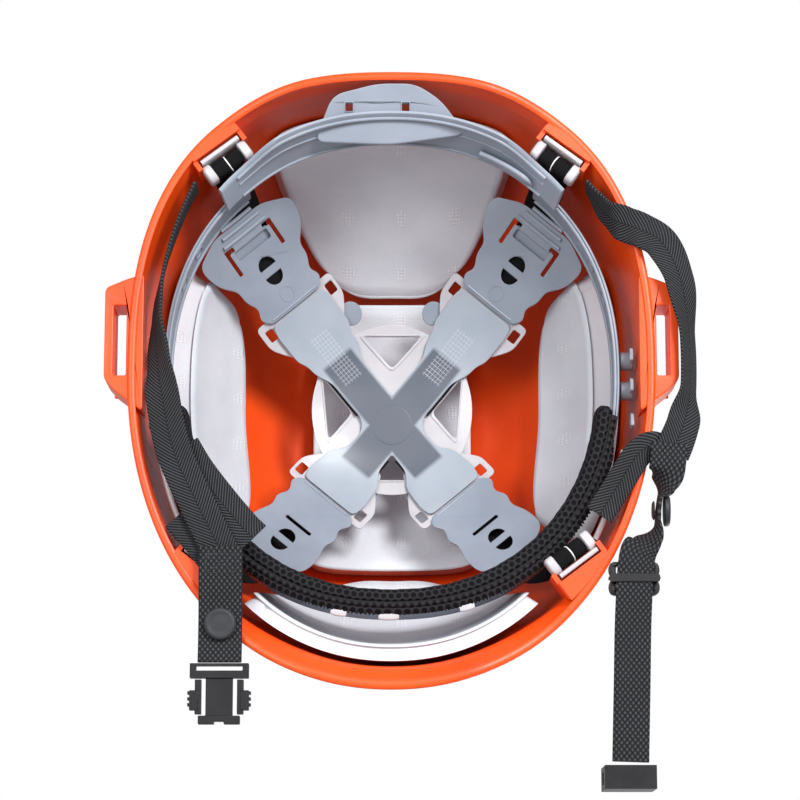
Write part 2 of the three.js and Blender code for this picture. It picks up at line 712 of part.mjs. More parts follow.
// A flat frame with two slots that the strap threads through.
function ladderLock() {
  const frame = outlineShape([
    [-10.5, -6], [-9.5, -7], [9.5, -7], [10.5, -6], [9, -2], [9, 2], [10.5, 6], [9.5, 7], [-9.5, 7],
    [-10.5, 6], [-9, 2], [-9, -2],
  ]);
  let body = solid(slab(frame, LOCK_THICK, 0));
  for (const y of [-3.4, 3.4]) body = body.subtract(solid(block(15.2, 3.2, 8, 0, y, 2)));
  return fromSolid(body).translate(...LOCK_AT);
}

function fittings() {
  for (const [label, side] of [['left', 1], ['right', -1]]) {
    add(rim, `plug_arm_${label}`, plugArm(side).translate(PLUG_X, 0, 0), BLACK);
  }
  add(rim, 'buckle_plug', bucklePlug().translate(PLUG_X, 0, 0), BLACK);
  add(rim, 'buckle_socket', buckleSocket(), BLACK);
  add(rim, 'ladder_lock', ladderLock(), BLACK);
}

foamLiner();
add(rim, 'shell', shell(), ORANGE);
cradle();
headGear();
anchors();
leftStrap();
rightStrap();
fittings();

export default helmet;
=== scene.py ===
import math

import bmesh
import bpy
from mathutils import Matrix, Vector


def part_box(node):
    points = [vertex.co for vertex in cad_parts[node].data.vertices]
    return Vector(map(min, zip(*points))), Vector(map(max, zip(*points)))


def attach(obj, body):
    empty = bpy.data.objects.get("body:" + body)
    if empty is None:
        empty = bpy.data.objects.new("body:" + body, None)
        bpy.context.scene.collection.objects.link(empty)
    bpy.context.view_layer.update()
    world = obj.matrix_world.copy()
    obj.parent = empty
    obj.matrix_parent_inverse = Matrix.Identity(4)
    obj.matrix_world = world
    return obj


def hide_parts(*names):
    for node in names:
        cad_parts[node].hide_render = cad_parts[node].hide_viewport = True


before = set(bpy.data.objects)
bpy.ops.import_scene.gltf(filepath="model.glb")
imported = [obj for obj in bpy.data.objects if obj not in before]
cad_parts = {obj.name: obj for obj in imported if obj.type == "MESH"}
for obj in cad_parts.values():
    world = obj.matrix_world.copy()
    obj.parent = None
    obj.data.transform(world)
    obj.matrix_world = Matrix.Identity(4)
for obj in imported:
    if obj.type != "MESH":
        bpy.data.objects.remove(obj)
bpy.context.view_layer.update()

# ------------------------------------------------------------------ driving sizes
# The helmet is worked out in millimetres about the centre of its rim: +X the wearer's left,
# -Y the front, height above the rim plane. point() turns that into the frame's metres.

MM = 0.001
shell_low, shell_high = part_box("shell")
FRONT_LENGTH = 135.0
REAR_LENGTH = 127.0
HALF_WIDTH = 110.5
SHELL_HEIGHT = (shell_high.z - shell_low.z) / MM
RIM_Z = shell_low.z / MM
RIM_Y = shell_high.y / MM - REAR_LENGTH
FRONT_POWER = 2.12
REAR_POWER = 2.5
DOME_POWER = 2.3
WALL = 2.6
BRIM_FRONT = 6.5
BRIM_SIDE = 2.0
BRIM_HEIGHT = 14.0
RIM_ARCH = 8.0

SEAT_RADIUS = 14.0
ARM_DROP = 0.00638
FRONT_STEEPNESS = 1.25
ARM_ANGLE = math.radians(50)
REAR_JOINT = 66.0
FRONT_JOINT = 44.0
CROTCH = 11

BAND_X = 97.0
BAND_Y = 103.0
BAND_SHIFT = 2.0
BAND_POWER = 2.2
BAND_LOW = (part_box("headband")[0].z / MM) - RIM_Z
BAND_HIGH = (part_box("headband")[1].z / MM) - RIM_Z
SWEAT_LOW = (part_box("sweatband")[0].z / MM) - RIM_Z
SWEAT_HIGH = (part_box("sweatband")[1].z / MM) - RIM_Z

WEB = 15.0
LOWER_WEB = 18.0
WEB_THICK = 1.6
SNAP_CAP = (6.6, 2.4)
SNAP_STUD = (4, 1)
LOCK_PLACE = (-99.7, -89, 4.4)
CORNERS = ("rear_left", "rear_right", "front_left", "front_right")

ANCHOR_OUT = (0.6, 0.8)
ANCHOR_HEIGHT = 15
CLIP_BAR_DEPTH = -0.6
PLATE_THICK = 1.4
PLATE_LEVEL = 1.0
RING_LEVEL = 3.25
RING_THICK = 1.1
RING_HALF = (36, 38.5)
RING_SHIFT = 6.5
ARM_GAP = 0.4
HANGER_INSET = 10.2
HANGER_HEIGHT = 20.5
HANGER_SPAN = (-33, -14)
RIB_HEIGHT = 111
RIB_LENGTH = 8
RIB_SECTION = (2.6, 1.8, 0.8)

BAND_SPAN = (128, 412)
BAND_THICK = 1.6
NAPE_SPAN = (43, 137)
NAPE_THICK = 2.0
NAPE_LOW = 3.5
NAPE_HIGH = 25
NAPE_DEGREE = 1.75  # how many mm a degree round the nape strap is
CLIP_HEIGHT = 32
CROWN_PAD_FRONT = -71.8
CROWN_PAD_REAR = 52.7
SWEAT_SPAN = (187, 353)
SEAM_SPAN = (190, 350)
SWEAT_INSET = 2.2
SWEAT_THICK = 8.0
WHOLE = 60  # a cell so large that a small plate isn't cut up


def point(x, y, z):
    return Vector((x * MM, (y + RIM_Y) * MM, (z + RIM_Z) * MM))


def mix(a, b, t):
    return a + (b - a) * t


def shares(steps):
    """The numbers from 0 to 1 in even steps."""
    return [i / steps for i in range(steps + 1)]


def smooth(t):
    s = min(1.0, max(0.0, t))
    return s * s * (3 - 2 * s)


def bulge(value, power):
    return math.copysign(abs(value) ** (2 / power), value)


# ------------------------------------------------------------------ node helpers


class Nodes:
    """A material's node tree with short calls."""

    def __init__(self, name):
        self.material = bpy.data.materials.new(name)
        self.material.use_nodes = True
        self.tree = self.material.node_tree
        self.shader = self.tree.nodes["Principled BSDF"]
        self.coordinates = self.tree.nodes.new("ShaderNodeTexCoord").outputs["Object"]

    def add(self, kind, inputs=None, **settings):
        """A new node with its settings, and its inputs as values or other nodes' outputs."""
        node = self.tree.nodes.new(kind)
        for key, value in settings.items():
            setattr(node, key, value)
        for key, value in (inputs or {}).items():
            self.feed(node.inputs[key], value)
        return node

    def feed(self, socket, value):
        if isinstance(value, bpy.types.NodeSocket):
            self.tree.links.new(value, socket)
        else:
            socket.default_value = value

    def math(self, operation, a, b=0.0, c=0.0):
        return self.add("ShaderNodeMath", {0: a, 1: b, 2: c}, operation=operation).outputs[0]

    def product(self, a, b):
        return self.math("MULTIPLY", a, b)

    def vector(self, operation, a, b=(0, 0, 0)):
        node = self.add("ShaderNodeVectorMath", {0: a, 1: b}, operation=operation)
        return node.outputs["Value" if operation == "LENGTH" else "Vector"]

    def parts(self, vector):
        """The first two parts of a vector."""
        return self.add("ShaderNodeSeparateXYZ", {0: vector}).outputs[:2]

    def noise(self, scale, detail=2.0, rough=0.5):
        inputs = {"Vector": self.coordinates, "Scale": scale, "Detail": detail, "Roughness": rough}
        return self.add("ShaderNodeTexNoise", inputs).outputs["Fac"]

    def ramp(self, value, stops):
        node = self.add("ShaderNodeValToRGB", {"Fac": value})
        for element, (place, colour) in zip(node.color_ramp.elements, stops):
            element.position = place
            element.color = (*colour, 1)
        return node.outputs["Color"]

    def span(self, value, low, high, to_low=0.0, to_high=1.0):
        inputs = {"Value": value, "From Min": low, "From Max": high, "To Min": to_low, "To Max": to_high}
        return self.add("ShaderNodeMapRange", inputs, clamp=True).outputs["Result"]

    def blend(self, share, a, b):
        colours = [c if isinstance(c, bpy.types.NodeSocket) else (*c, 1) for c in (a, b)]
        inputs = {"Factor": share, "A": colours[0], "B": colours[1]}
        return self.add("ShaderNodeMix", inputs, data_type="RGBA").outputs["Result"]

    def mottled(self, scale, detail, dark, light):
        """A colour that wanders softly between two screen colours."""
        return self.blend(self.span(self.noise(scale, detail), 0.3, 0.7), srgb(*dark), srgb(*light))

    def bump(self, height, strength, distance, under=None):
        inputs = {"Height": height, "Strength": strength, "Distance": distance}
        if under is not None:
            inputs["Normal"] = under
        return self.add("ShaderNodeBump", inputs).outputs["Normal"]

    def finish(self, colour, roughness, normal, **constants):
        inputs = {"Base Color": colour, "Roughness": roughness, "Normal": normal}
        inputs.update({name.replace("_", " "): value for name, value in constants.items()})
        for name, value in inputs.items():
            self.feed(self.shader.inputs[name], value)
        return self.material


def srgb(r, g, b):
    """A colour given as 0 to 255 screen values, made linear."""
    return tuple(((c / 255 + 0.055) / 1.055) ** 2.4 if c > 10 else c / 3294.6 for c in (r, g, b))


# ------------------------------------------------------------------ materials


def orange_plastic():
    n = Nodes("orange_shell_plastic")
    colour = n.mottled(18, 3, (231, 68, 8), (240, 80, 14))
    roughness = n.span(n.noise(900), 0.3, 0.7, 0.38, 0.46)
    peel = n.bump(n.noise(420), 0.06, 0.001)
    scuffs = n.bump(n.noise(60, 5, 0.7), 0.04, 0.001, peel)
    return n.finish(colour, roughness, scuffs, Specular_IOR_Level=0.35, Coat_Weight=0.05,
                    Coat_Roughness=0.25)


def rib_plastic():
    n = Nodes("orange_rib_plastic")
    colour = n.mottled(60, 2, (208, 56, 10), (224, 66, 14))
    return n.finish(colour, 0.35, n.bump(n.noise(500), 0.05, 0.001))


def foam_beads():
    """Moulded bead foam: faint bead seams, and small clusters of raised dots on a regular grid."""
    n = Nodes("white_bead_foam")
    cells = n.add("ShaderNodeTexVoronoi", {"Vector": n.coordinates, "Scale": 380}, feature="DISTANCE_TO_EDGE")
    seam = n.span(cells.outputs["Distance"], 0.0, 0.12)
    moved = n.vector("ADD", n.coordinates, (1.0, 1.004, 1.0))
    cluster = n.vector("MODULO", moved, (0.024, 0.0205, 0.4))
    cluster = n.vector("MULTIPLY", cluster, (1, 1, 0))
    from_middle = n.vector("LENGTH", n.vector("SUBTRACT", cluster, (0.012, 0.01025, 0)))
    patch = n.span(from_middle, 0.0026, 0.0031, 1.0, 0.0)
    dots = n.vector("MULTIPLY", n.vector("MODULO", moved, (0.00155, 0.00125, 0.4)), (1, 1, 0))
    from_dot = n.vector("LENGTH", n.vector("SUBTRACT", dots, (0.000775, 0.000625, 0)))
    dot = n.product(patch, n.span(from_dot, 0.0003, 0.00055, 1.0, 0.0))
    base = n.blend(n.span(n.noise(28, 3), 0.35, 0.65), srgb(201, 203, 211), srgb(213, 215, 222))
    colour = n.blend(n.span(seam, 0.0, 1.0, 0.05, 0.0), base, srgb(165, 163, 170))
    colour = n.blend(n.product(dot, 0.55), colour, srgb(240, 240, 243))
    surface = n.bump(dot, 0.45, 0.0006, n.bump(seam, 0.07, 0.0006))
    return n.finish(colour, 0.6, surface, Subsurface_Weight=0.1, Subsurface_Scale=0.004)


def grey_plastic():
    n = Nodes("grey_cradle_plastic")
    roughness = n.span(n.noise(700), 0.3, 0.7, 0.34, 0.46)
    return n.finish(n.mottled(40, 3, (132, 140, 153), (145, 153, 166)), roughness,
                    n.bump(n.noise(1500), 0.05, 0.0005), Subsurface_Weight=0.12, Subsurface_Scale=0.003)


def cross_plastic():
    """The cross plate: grey, darker where the tapes lie behind, with a fine raised grid on each rear arm."""
    n = Nodes("grey_cross_plastic")
    x, y = n.parts(n.coordinates)
    c, s = math.cos(ARM_ANGLE), math.sin(ARM_ANGLE)
    wide_x = n.math("ABSOLUTE", x)
    long_y = n.math("ABSOLUTE", y)
    along = n.math("ADD", n.product(wide_x, c), n.product(long_y, s))
    across = n.math("SUBTRACT", n.product(long_y, c), n.product(wide_x, s))
    rear = n.span(y, -0.004, 0.004)
    limit = n.math("MULTIPLY_ADD", rear, 0.013, 0.0255)
    dark = n.span(n.math("SUBTRACT", along, limit), -0.001, 0.001, 1.0, 0.0)
    dark = n.product(dark, n.span(n.math("ABSOLUTE", across), 0.0072, 0.0086, 1.0, 0.0))
    in_width = n.span(n.math("ABSOLUTE", across), 0.0046, 0.005, 1.0, 0.0)
    in_length = n.product(n.span(along, 0.0262, 0.0266), n.span(along, 0.0516, 0.052, 1.0, 0.0))
    patch = n.product(n.product(in_width, in_length), rear)
    bars = n.span(n.math("PINGPONG", n.math("ADD", across, 0.5), 0.0008), 0.0, 0.00022, 1.0, 0.0)
    steps = n.span(n.math("PINGPONG", n.math("ADD", along, 0.5), 0.0009), 0.0, 0.00022, 1.0, 0.0)
    grid_lines = n.product(patch, n.math("MAXIMUM", bars, steps))
    clear = n.mottled(40, 3, (148, 157, 168), (160, 168, 178))
    colour = n.blend(dark, clear, srgb(84, 90, 102))
    colour = n.blend(n.product(grid_lines, 0.5), colour, srgb(205, 210, 218))
    normal = n.bump(grid_lines, 0.4, 0.0003, n.bump(n.noise(1500), 0.05, 0.0005))
    return n.finish(colour, 0.36, normal, Subsurface_Weight=0.1, Subsurface_Scale=0.003)


def milky_plastic():
    n = Nodes("milky_plastic")
    return n.finish(n.mottled(50, 3, (196, 194, 199), (212, 210, 215)), 0.3,
                    n.bump(n.noise(900), 0.06, 0.0005), Transmission_Weight=0.2, Subsurface_Weight=0.2,
                    Subsurface_Scale=0.002)


def black_plastic():
    n = Nodes("black_satin_plastic")
    roughness = n.span(n.noise(1200), 0.3, 0.7, 0.36, 0.5)
    return n.finish(n.mottled(90, 3, (24, 24, 27), (34, 34, 37)), roughness,
                    n.bump(n.noise(2400), 0.08, 0.0004), Specular_IOR_Level=0.22)


def cap_plastic():
    n = Nodes("snap_cap_plastic")
    return n.finish(n.mottled(90, 3, (40, 41, 44), (52, 53, 57)), 0.5,
                    n.bump(n.noise(2600), 0.15, 0.0004), Specular_IOR_Level=0.25)


def run_parts(n):
    """How far along and across a piece of webbing a point is, in metres."""
    run = n.add("ShaderNodeAttribute", attribute_name="run").outputs["Vector"]
    return run, *n.parts(run)


def wave(n, value, pitch):
    """A smooth 0 to 1 wave that repeats every pitch metres."""
    turn = n.product(value, 2 * math.pi / pitch)
    return n.math("MULTIPLY_ADD", n.math("SINE", turn), 0.5, 0.5)


def webbing(name, weave, dark, light):
    """Polyester webbing in herringbone or basket weave, or a fine plain tape."""
    n = Nodes(name)
    _, along, across = run_parts(n)
    if weave == "herringbone":
        away = n.math("ABSOLUTE", across)
        ribs = wave(n, n.math("ADD", along, n.product(away, 1.1)), 0.00165)
        threads = wave(n, n.math("SUBTRACT", along, n.product(away, 0.9)), 0.00085)
        crease = n.span(away, 0.0, 0.0005, 0.5, 1.0)
        height = n.product(n.math("MULTIPLY_ADD", threads, 0.25, 0.75), n.product(ribs, crease))
    else:
        warp_pitch, weft_pitch = (0.0022, 0.0027) if weave == "basket" else (0.0011, 0.0008)
        warp = wave(n, across, warp_pitch)
        weft = wave(n, along, weft_pitch)
        shifted = wave(n, n.math("ADD", along, weft_pitch / 2), weft_pitch)
        other = n.product(n.math("SUBTRACT", 1.0, warp), shifted)
        height = n.math("MAXIMUM", n.product(warp, weft), other)
    fibres = n.noise(2600, 3, 0.6)
    colour = n.ramp(height, [(0.3, dark), (0.95, light)])
    colour = n.blend(n.span(n.noise(45, 3), 0.35, 0.7, 0.0, 0.25), colour, dark)
    colour = n.blend(n.span(fibres, 0.35, 0.65, 0.0, 0.2), colour, light)
    normal = n.bump(height, 0.9, 0.0006, n.bump(fibres, 0.2, 0.0002))
    return n.finish(colour, 0.75, normal, Specular_IOR_Level=0.15)


def spacer_mesh():
    """Padded mesh cloth: staggered rows of open round cells over dark foam."""
    n = Nodes("black_spacer_mesh")
    run, _, _ = run_parts(n)
    pitch = 0.0031
    nearest = None
    for shift in (0.0, 0.5):
        cell = n.vector("ADD", run, (1 + pitch * shift, 1 + pitch * shift * 1.73, 0))
        cell = n.vector("MODULO", cell, (pitch, pitch * 1.73, 1))
        cell = n.vector("SUBTRACT", cell, (pitch / 2, pitch * 0.866, 0))
        far = n.vector("LENGTH", cell)
        nearest = far if nearest is None else n.math("MINIMUM", nearest, far)
    thread = n.span(nearest, 0.0008, 0.0013)
    fibres = n.noise(3000, 3, 0.6)
    colour = n.blend(thread, srgb(5, 5, 6), srgb(44, 43, 47))
    colour = n.blend(n.span(fibres, 0.35, 0.65, 0.0, 0.3), colour, srgb(26, 26, 28))
    normal = n.bump(thread, 0.8, 0.0009, n.bump(fibres, 0.25, 0.0002))
    return n.finish(colour, 0.8, normal, Specular_IOR_Level=0.12)


def thread_cotton():
    n = Nodes("white_tie_thread")
    colour = n.blend(n.noise(1500), srgb(224, 222, 220), srgb(245, 244, 242))
    return n.finish(colour, 0.8, n.bump(n.noise(2500), 0.3, 0.0003))


# A finish is a material and the slot that it stands for.
ORANGE = orange_plastic(), "shell"
RIB = rib_plastic(), "shell"
FOAM = foam_beads(), "foam"
GREY = grey_plastic(), "cradle_plastic"
CROSS = cross_plastic(), "cradle_plastic"
MILKY = milky_plastic(), "milky_plastic"
BLACK = black_plastic(), "black_plastic"
CAP = cap_plastic(), "black_plastic"
HERRINGBONE = webbing("herringbone_webbing", "herringbone", srgb(12, 12, 14), srgb(80, 81, 85)), "webbing"
BASKET = webbing("basket_webbing", "basket", srgb(12, 12, 14), srgb(74, 75, 79)), "webbing"
TAPE = webbing("black_tape", "tape", srgb(10, 10, 11), srgb(42, 42, 45)), "webbing"
MESH_CLOTH = spacer_mesh(), "mesh_cloth"
THREAD = thread_cotton(), "webbing"
TAPE_EDGE = TAPE[0], "cradle_plastic"
STITCH = CAP[0], "webbing"


# ------------------------------------------------------------------ mesh helpers


def make(name, vertices, faces, finish, body="helmet", node="", runs=None, sharp=35):
    """A closed mesh piece from points in the frame, riding on a body and standing for a CAD node."""
    mesh = bpy.data.meshes.new(name)
    mesh.from_pydata([tuple(v) for v in vertices], [], faces)
    mesh.update()
    if runs is not None:
        layer = mesh.attributes.new("run", "FLOAT_VECTOR", "POINT")
        for item, run in zip(layer.data, runs):
            item.vector = run
    work = bmesh.new()
    work.from_mesh(mesh)
    bmesh.ops.recalc_face_normals(work, faces=work.faces)
    work.to_mesh(mesh)
    work.free()
    return settle(bpy.data.objects.new(name, mesh), finish, body, node, sharp)


def settle(piece, finish, body="helmet", node="", sharp=35):
    """Gives a piece its material and its smooth shading, puts it on its body and hides the CAD node that it
    is drawn in place of.
    """
    material, slot = finish
    if not piece.users_collection:
        bpy.context.scene.collection.objects.link(piece)
    piece.data.materials.clear()
    piece.data.materials.append(material)
    for face in piece.data.polygons:
        face.use_smooth = True
    piece.data.set_sharp_from_angle(angle=math.radians(sharp))
    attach(piece, body)
    if node:
        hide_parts(node)
    return piece


def round_section(width, thick, corner, steps=3):
    """The corners of a flat rounded section, anticlockwise, as (across, up)."""
    points = []
    half_w, half_t = width / 2 - corner, thick / 2 - corner
    for index, (sx, sy) in enumerate(((1, 1), (-1, 1), (-1, -1), (1, -1))):
        for step in range(steps + 1):
            turn = math.pi / 2 * (index + step / steps)
            points.append((sx * half_w + corner * math.cos(turn), sy * half_t + corner * math.sin(turn)))
    return points


def circle_section(radius, sides=8):
    return [(radius * math.cos(t), radius * math.sin(t)) for t in turns_of(sides)]


def tube_faces(count, sides, closed=False, base=0):
    """Faces between count rings of points, with end caps unless the tube closes on itself."""
    faces = []
    for i in range(count if closed else count - 1):
        j = (i + 1) % count
        for k in range(sides):
            m = (k + 1) % sides
            faces.append((i * sides + k, i * sides + m, j * sides + m, j * sides + k))
    if not closed:
        faces += [tuple(range(sides)), tuple((count - 1) * sides + k for k in range(sides))]
    return [tuple(base + corner for corner in face) for face in faces]


def turned_faces(rings, around):
    """Faces of a closed turned solid: a first point, rings of points and a last point."""
    end = 1 + rings * around
    faces = []
    for k in range(around):
        m = (k + 1) % around
        faces += [(0, 1 + k, 1 + m), (end, end - around + m, end - around + k)]
        for a in range(1, end - around, around):
            faces.append((a + k, a + around + k, a + around + m, a + m))
    return faces


def sweep(name, stations, section, finish, body="helmet", node="", closed=False, sharp=50):
    """Sweeps a section along stations of (point, across, up), points in metres, section in mm."""
    vertices, runs = [], []
    length = 0.0
    last = None
    for place, across, up in stations:
        length += (place - last).length if last else 0.0
        last = place
        for a, b in section:
            vertices.append(place + across * a * MM + up * b * MM)
            runs.append((length, a * MM, b * MM))
    faces = tube_faces(len(stations), len(section), closed)
    return make(name, vertices, faces, finish, body, node, runs, sharp)


def curve_points(points, cells):
    """A smooth curve through points, cells to a stretch, with its tangents and its place in the list."""
    ends = [points[0] * 2 - points[1], *points, points[-1] * 2 - points[-2]]
    made = []
    for i in range(1, len(ends) - 2):
        p0, p1, p2, p3 = ends[i - 1:i + 3]
        for step in range(cells + (i == len(ends) - 3)):
            t = step / cells
            place = 0.5 * (2 * p1 + (p2 - p0) * t + (2 * p0 - 5 * p1 + 4 * p2 - p3) * t * t
                           + (3 * p1 - p0 - 3 * p2 + p3) * t ** 3)
            slope = 0.5 * ((p2 - p0) + (4 * p0 - 10 * p1 + 8 * p2 - 2 * p3) * t
                           + (9 * p1 - 3 * p0 - 9 * p2 + 3 * p3) * t * t)
            made.append((place, slope.normalized(), i - 1 + t))
    return made


def strap_stations(marks, cells):
    """Stations for webbing through marks of (x, y, height, roll)."""
    points = [point(x, y, z) for x, y, z, _ in marks]
    rolls = [roll for *_, roll in marks]
    across = None
    made = []
    for place, along, at in curve_points(points, cells):
        if across is None or math.hypot(along.x, along.y) > 0.35:
            across = Vector((along.y, -along.x, 0)).normalized()
        side = (across - along * across.dot(along)).normalized()
        first = min(len(rolls) - 2, int(at))
        roll = mix(rolls[first], rolls[first + 1], smooth(at - first))
        side = Matrix.Rotation(math.radians(roll), 3, along) @ side
        made.append((place, side, side.cross(along)))
    return made


def station(place, ahead, swell=1.0):
    """A sweep's station that heads along ahead, with its first side level."""
    along = ahead.normalized()
    across = along.cross(Vector((0, 0, 1))).normalized()
    return place, across * swell, across.cross(along) * swell


def strap(name, marks, width, finish, body, node, cells=10):
    return sweep(name, strap_stations(marks, cells), web_section(width, WEB_THICK), finish, body, node,
                 sharp=70)


def web_section(width, thick):
    """Webbing's section: flat, with rounded selvedges and seven points across each face."""
    half, edge = width / 2, thick / 2
    top = [(mix(-half + edge, half - edge, i / 6), edge) for i in range(7)]
    right = [(half - edge + edge * math.cos(t), edge * math.sin(t)) for t in (math.pi / 4, 0, -math.pi / 4)]
    bottom = [(-a, -b) for a, b in top]
    left = [(-a, -b) for a, b in right]
    return top + right + bottom + left


def grid(name, cells_u, cells_v, place, finish, body="helmet", node="", sharp=60, run=None):
    """A closed two-sided sheet: place(u, v, side) gives its face at side 0 and its back at side 1."""
    vertices, faces, runs = [], [], []
    wide = cells_v + 1
    for side in (0, 1):
        for i in range(cells_u + 1):
            for j in range(wide):
                vertices.append(place(i / cells_u, j / cells_v, side))
                if run:
                    runs.append(run(i / cells_u, j / cells_v))
    back = (cells_u + 1) * wide
    for i in range(cells_u):
        for j in range(cells_v):
            a = i * wide + j
            faces.append((a, a + 1, a + wide + 1, a + wide))
            faces.append((back + a, back + a + wide, back + a + wide + 1, back + a + 1))
    rim = [(0, j) for j in range(cells_v)] + [(i, cells_v) for i in range(cells_u)]
    rim += [(cells_u, j) for j in range(cells_v, 0, -1)] + [(i, 0) for i in range(cells_u, 0, -1)]
    for here, there in zip(rim, rim[1:] + rim[:1]):
        a, b = here[0] * wide + here[1], there[0] * wide + there[1]
        faces.append((a, b, back + b, back + a))
    return make(name, vertices, faces, finish, body, node, runs or None, sharp)


def dress(node, body, bevel):
    """A finished copy of a CAD node of the buckle: clean faces, softened edges."""
    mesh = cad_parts[node].data.copy()
    work = bmesh.new()
    work.from_mesh(mesh)
    bmesh.ops.remove_doubles(work, verts=work.verts, dist=1e-5)
    bmesh.ops.dissolve_limit(work, angle_limit=math.radians(2), verts=work.verts, edges=work.edges)
    work.to_mesh(mesh)
    work.free()
    piece = bpy.data.objects.new(node + "_finish", mesh)
    settle(piece, BLACK, body, node, 30)
    rounding = piece.modifiers.new("rounding", "BEVEL")
    rounding.width = bevel * MM
    rounding.segments = 2
    rounding.limit_method = "ANGLE"
    rounding.angle_limit = math.radians(35)
    rounding.harden_normals = False


# ------------------------------------------------------------------ the shell's surfaces


def outline_length(y, inset):
    """How far the shell's outline reaches on y's side of the middle."""
    return (REAR_LENGTH if y > 0 else FRONT_LENGTH) - inset


def dome_share(x, y, inset):
    """How far out a place is on the dome's plan: 0 at the crown and 1 at the rim."""
    power = REAR_POWER if y > 0 else FRONT_POWER
    across, along = abs(x / (HALF_WIDTH - inset)), abs(y / outline_length(y, inset))
    return (across ** power + along ** power) ** (1 / power)


def outline(angle, inset=0.0):
    y = math.sin(angle)
    power = REAR_POWER if y > 0 else FRONT_POWER
    return (HALF_WIDTH - inset) * bulge(math.cos(angle), power), outline_length(y, inset) * bulge(y, power)


def arch(angle):
    off = math.degrees(math.acos(min(1.0, abs(math.sin(angle)))))
    return RIM_ARCH * smooth((off - 14) / 24)


def brim(angle):
    front = smooth((-math.sin(angle) - 0.55) / 0.4)
    return mix(BRIM_SIDE, BRIM_FRONT, front) / HALF_WIDTH


def bowl(angle, rise, inset):
    lift = rise * math.pi / 2
    spread = math.cos(lift) ** (2 / DOME_POWER)
    x, y = outline(angle, inset)
    return x * spread, y * spread, (SHELL_HEIGHT - inset) * math.sin(lift) ** (2 / DOME_POWER)


def rise_at(height, inset):
    share = min(1.0, height / (SHELL_HEIGHT - inset))
    return math.asin(share ** (DOME_POWER / 2)) / (math.pi / 2)


def dome_profile(steps, inset):
    made = []
    for i in range(steps + 1):
        lift = (1 - i / steps) * math.pi / 2
        spread = 0.0 if i == 0 else math.cos(lift) ** (2 / DOME_POWER)
        z = (SHELL_HEIGHT - inset) * math.sin(lift) ** (2 / DOME_POWER)
        if z >= BRIM_HEIGHT + 2:
            made.append((spread * (1 - inset / HALF_WIDTH), z))
    return made


def shell_profile():
    """The wall's section from the crown down the outside, round the lip and up the inside."""
    outside = [(1.0, z) for z in (BRIM_HEIGHT, 12, 10, 8.5, 7, 5.5, 4, 2.6)]
    inner = 1 - WALL / HALF_WIDTH
    lip = [(1.0, 1.4), (1 - 0.35 / HALF_WIDTH, 0.5), (1 - 1.1 / HALF_WIDTH, 0.05)]
    lip += [(1 - 2.6 / HALF_WIDTH, 0.05), (1 - 3.2 / HALF_WIDTH, 0.5)]
    inside = [(inner, z) for z in (2.2, 4, 5.5, 7, 8.5, 10, 12, BRIM_HEIGHT)]
    return dome_profile(36, 0) + outside + lip + inside + dome_profile(36, WALL)[::-1]


def turned(spread, angle, z):
    drawn = brim(angle) * smooth(z / BRIM_HEIGHT) * min(1.0, spread)
    x, y = outline(angle)
    raised = arch(angle) * max(0.0, 1 - z / 60)
    return point(x * (spread - drawn), y * (spread - drawn), z + raised)


def build_shell():
    around = 168
    first, *rings, last = shell_profile()
    vertices = [turned(0, 0, first[1])]
    for spread, z in rings:
        vertices += [turned(spread, turn, z) for turn in turns_of(around)]
    vertices.append(turned(0, 0, last[1]))
    make("shell_wall", vertices, turned_faces(len(rings), around), ORANGE, node="shell", sharp=55)


# ------------------------------------------------------------------ plates cut from sheet


def filleted(corners, radius, steps=5):
    """An outline whose corners are rounded, as (x, y) points."""
    made = []
    count = len(corners)
    for i, corner in enumerate(corners):
        here = Vector(corner)
        back = Vector(corners[i - 1]) - here
        on = Vector(corners[(i + 1) % count]) - here
        reach = min(radius, back.length * 0.45, on.length * 0.45)
        a, b = here + back.normalized() * reach, here + on.normalized() * reach
        for t in shares(steps):
            made.append(tuple((1 - t) ** 2 * a + 2 * t * (1 - t) * here + t * t * b))
    return made


def turns_of(sides):
    return [2 * math.pi * i / sides for i in range(sides)]


def ring_of(x, y, radius, sides=24):
    return [(x + a, y + b) for a, b in circle_section(radius, sides)]


def box_of(x, y, half_x, half_y):
    return [(x + a * half_x, y + b * half_y) for a, b in ((-1, -1), (1, -1), (1, 1), (-1, 1))]


def half_disc(x, y, radius, heading, sides=12):
    """A D-shaped outline, its round side towards heading, in radians."""
    turns = [heading - math.pi / 2 + math.pi * i / sides for i in range(sides + 1)]
    return [(x + radius * math.cos(t), y + radius * math.sin(t)) for t in turns]


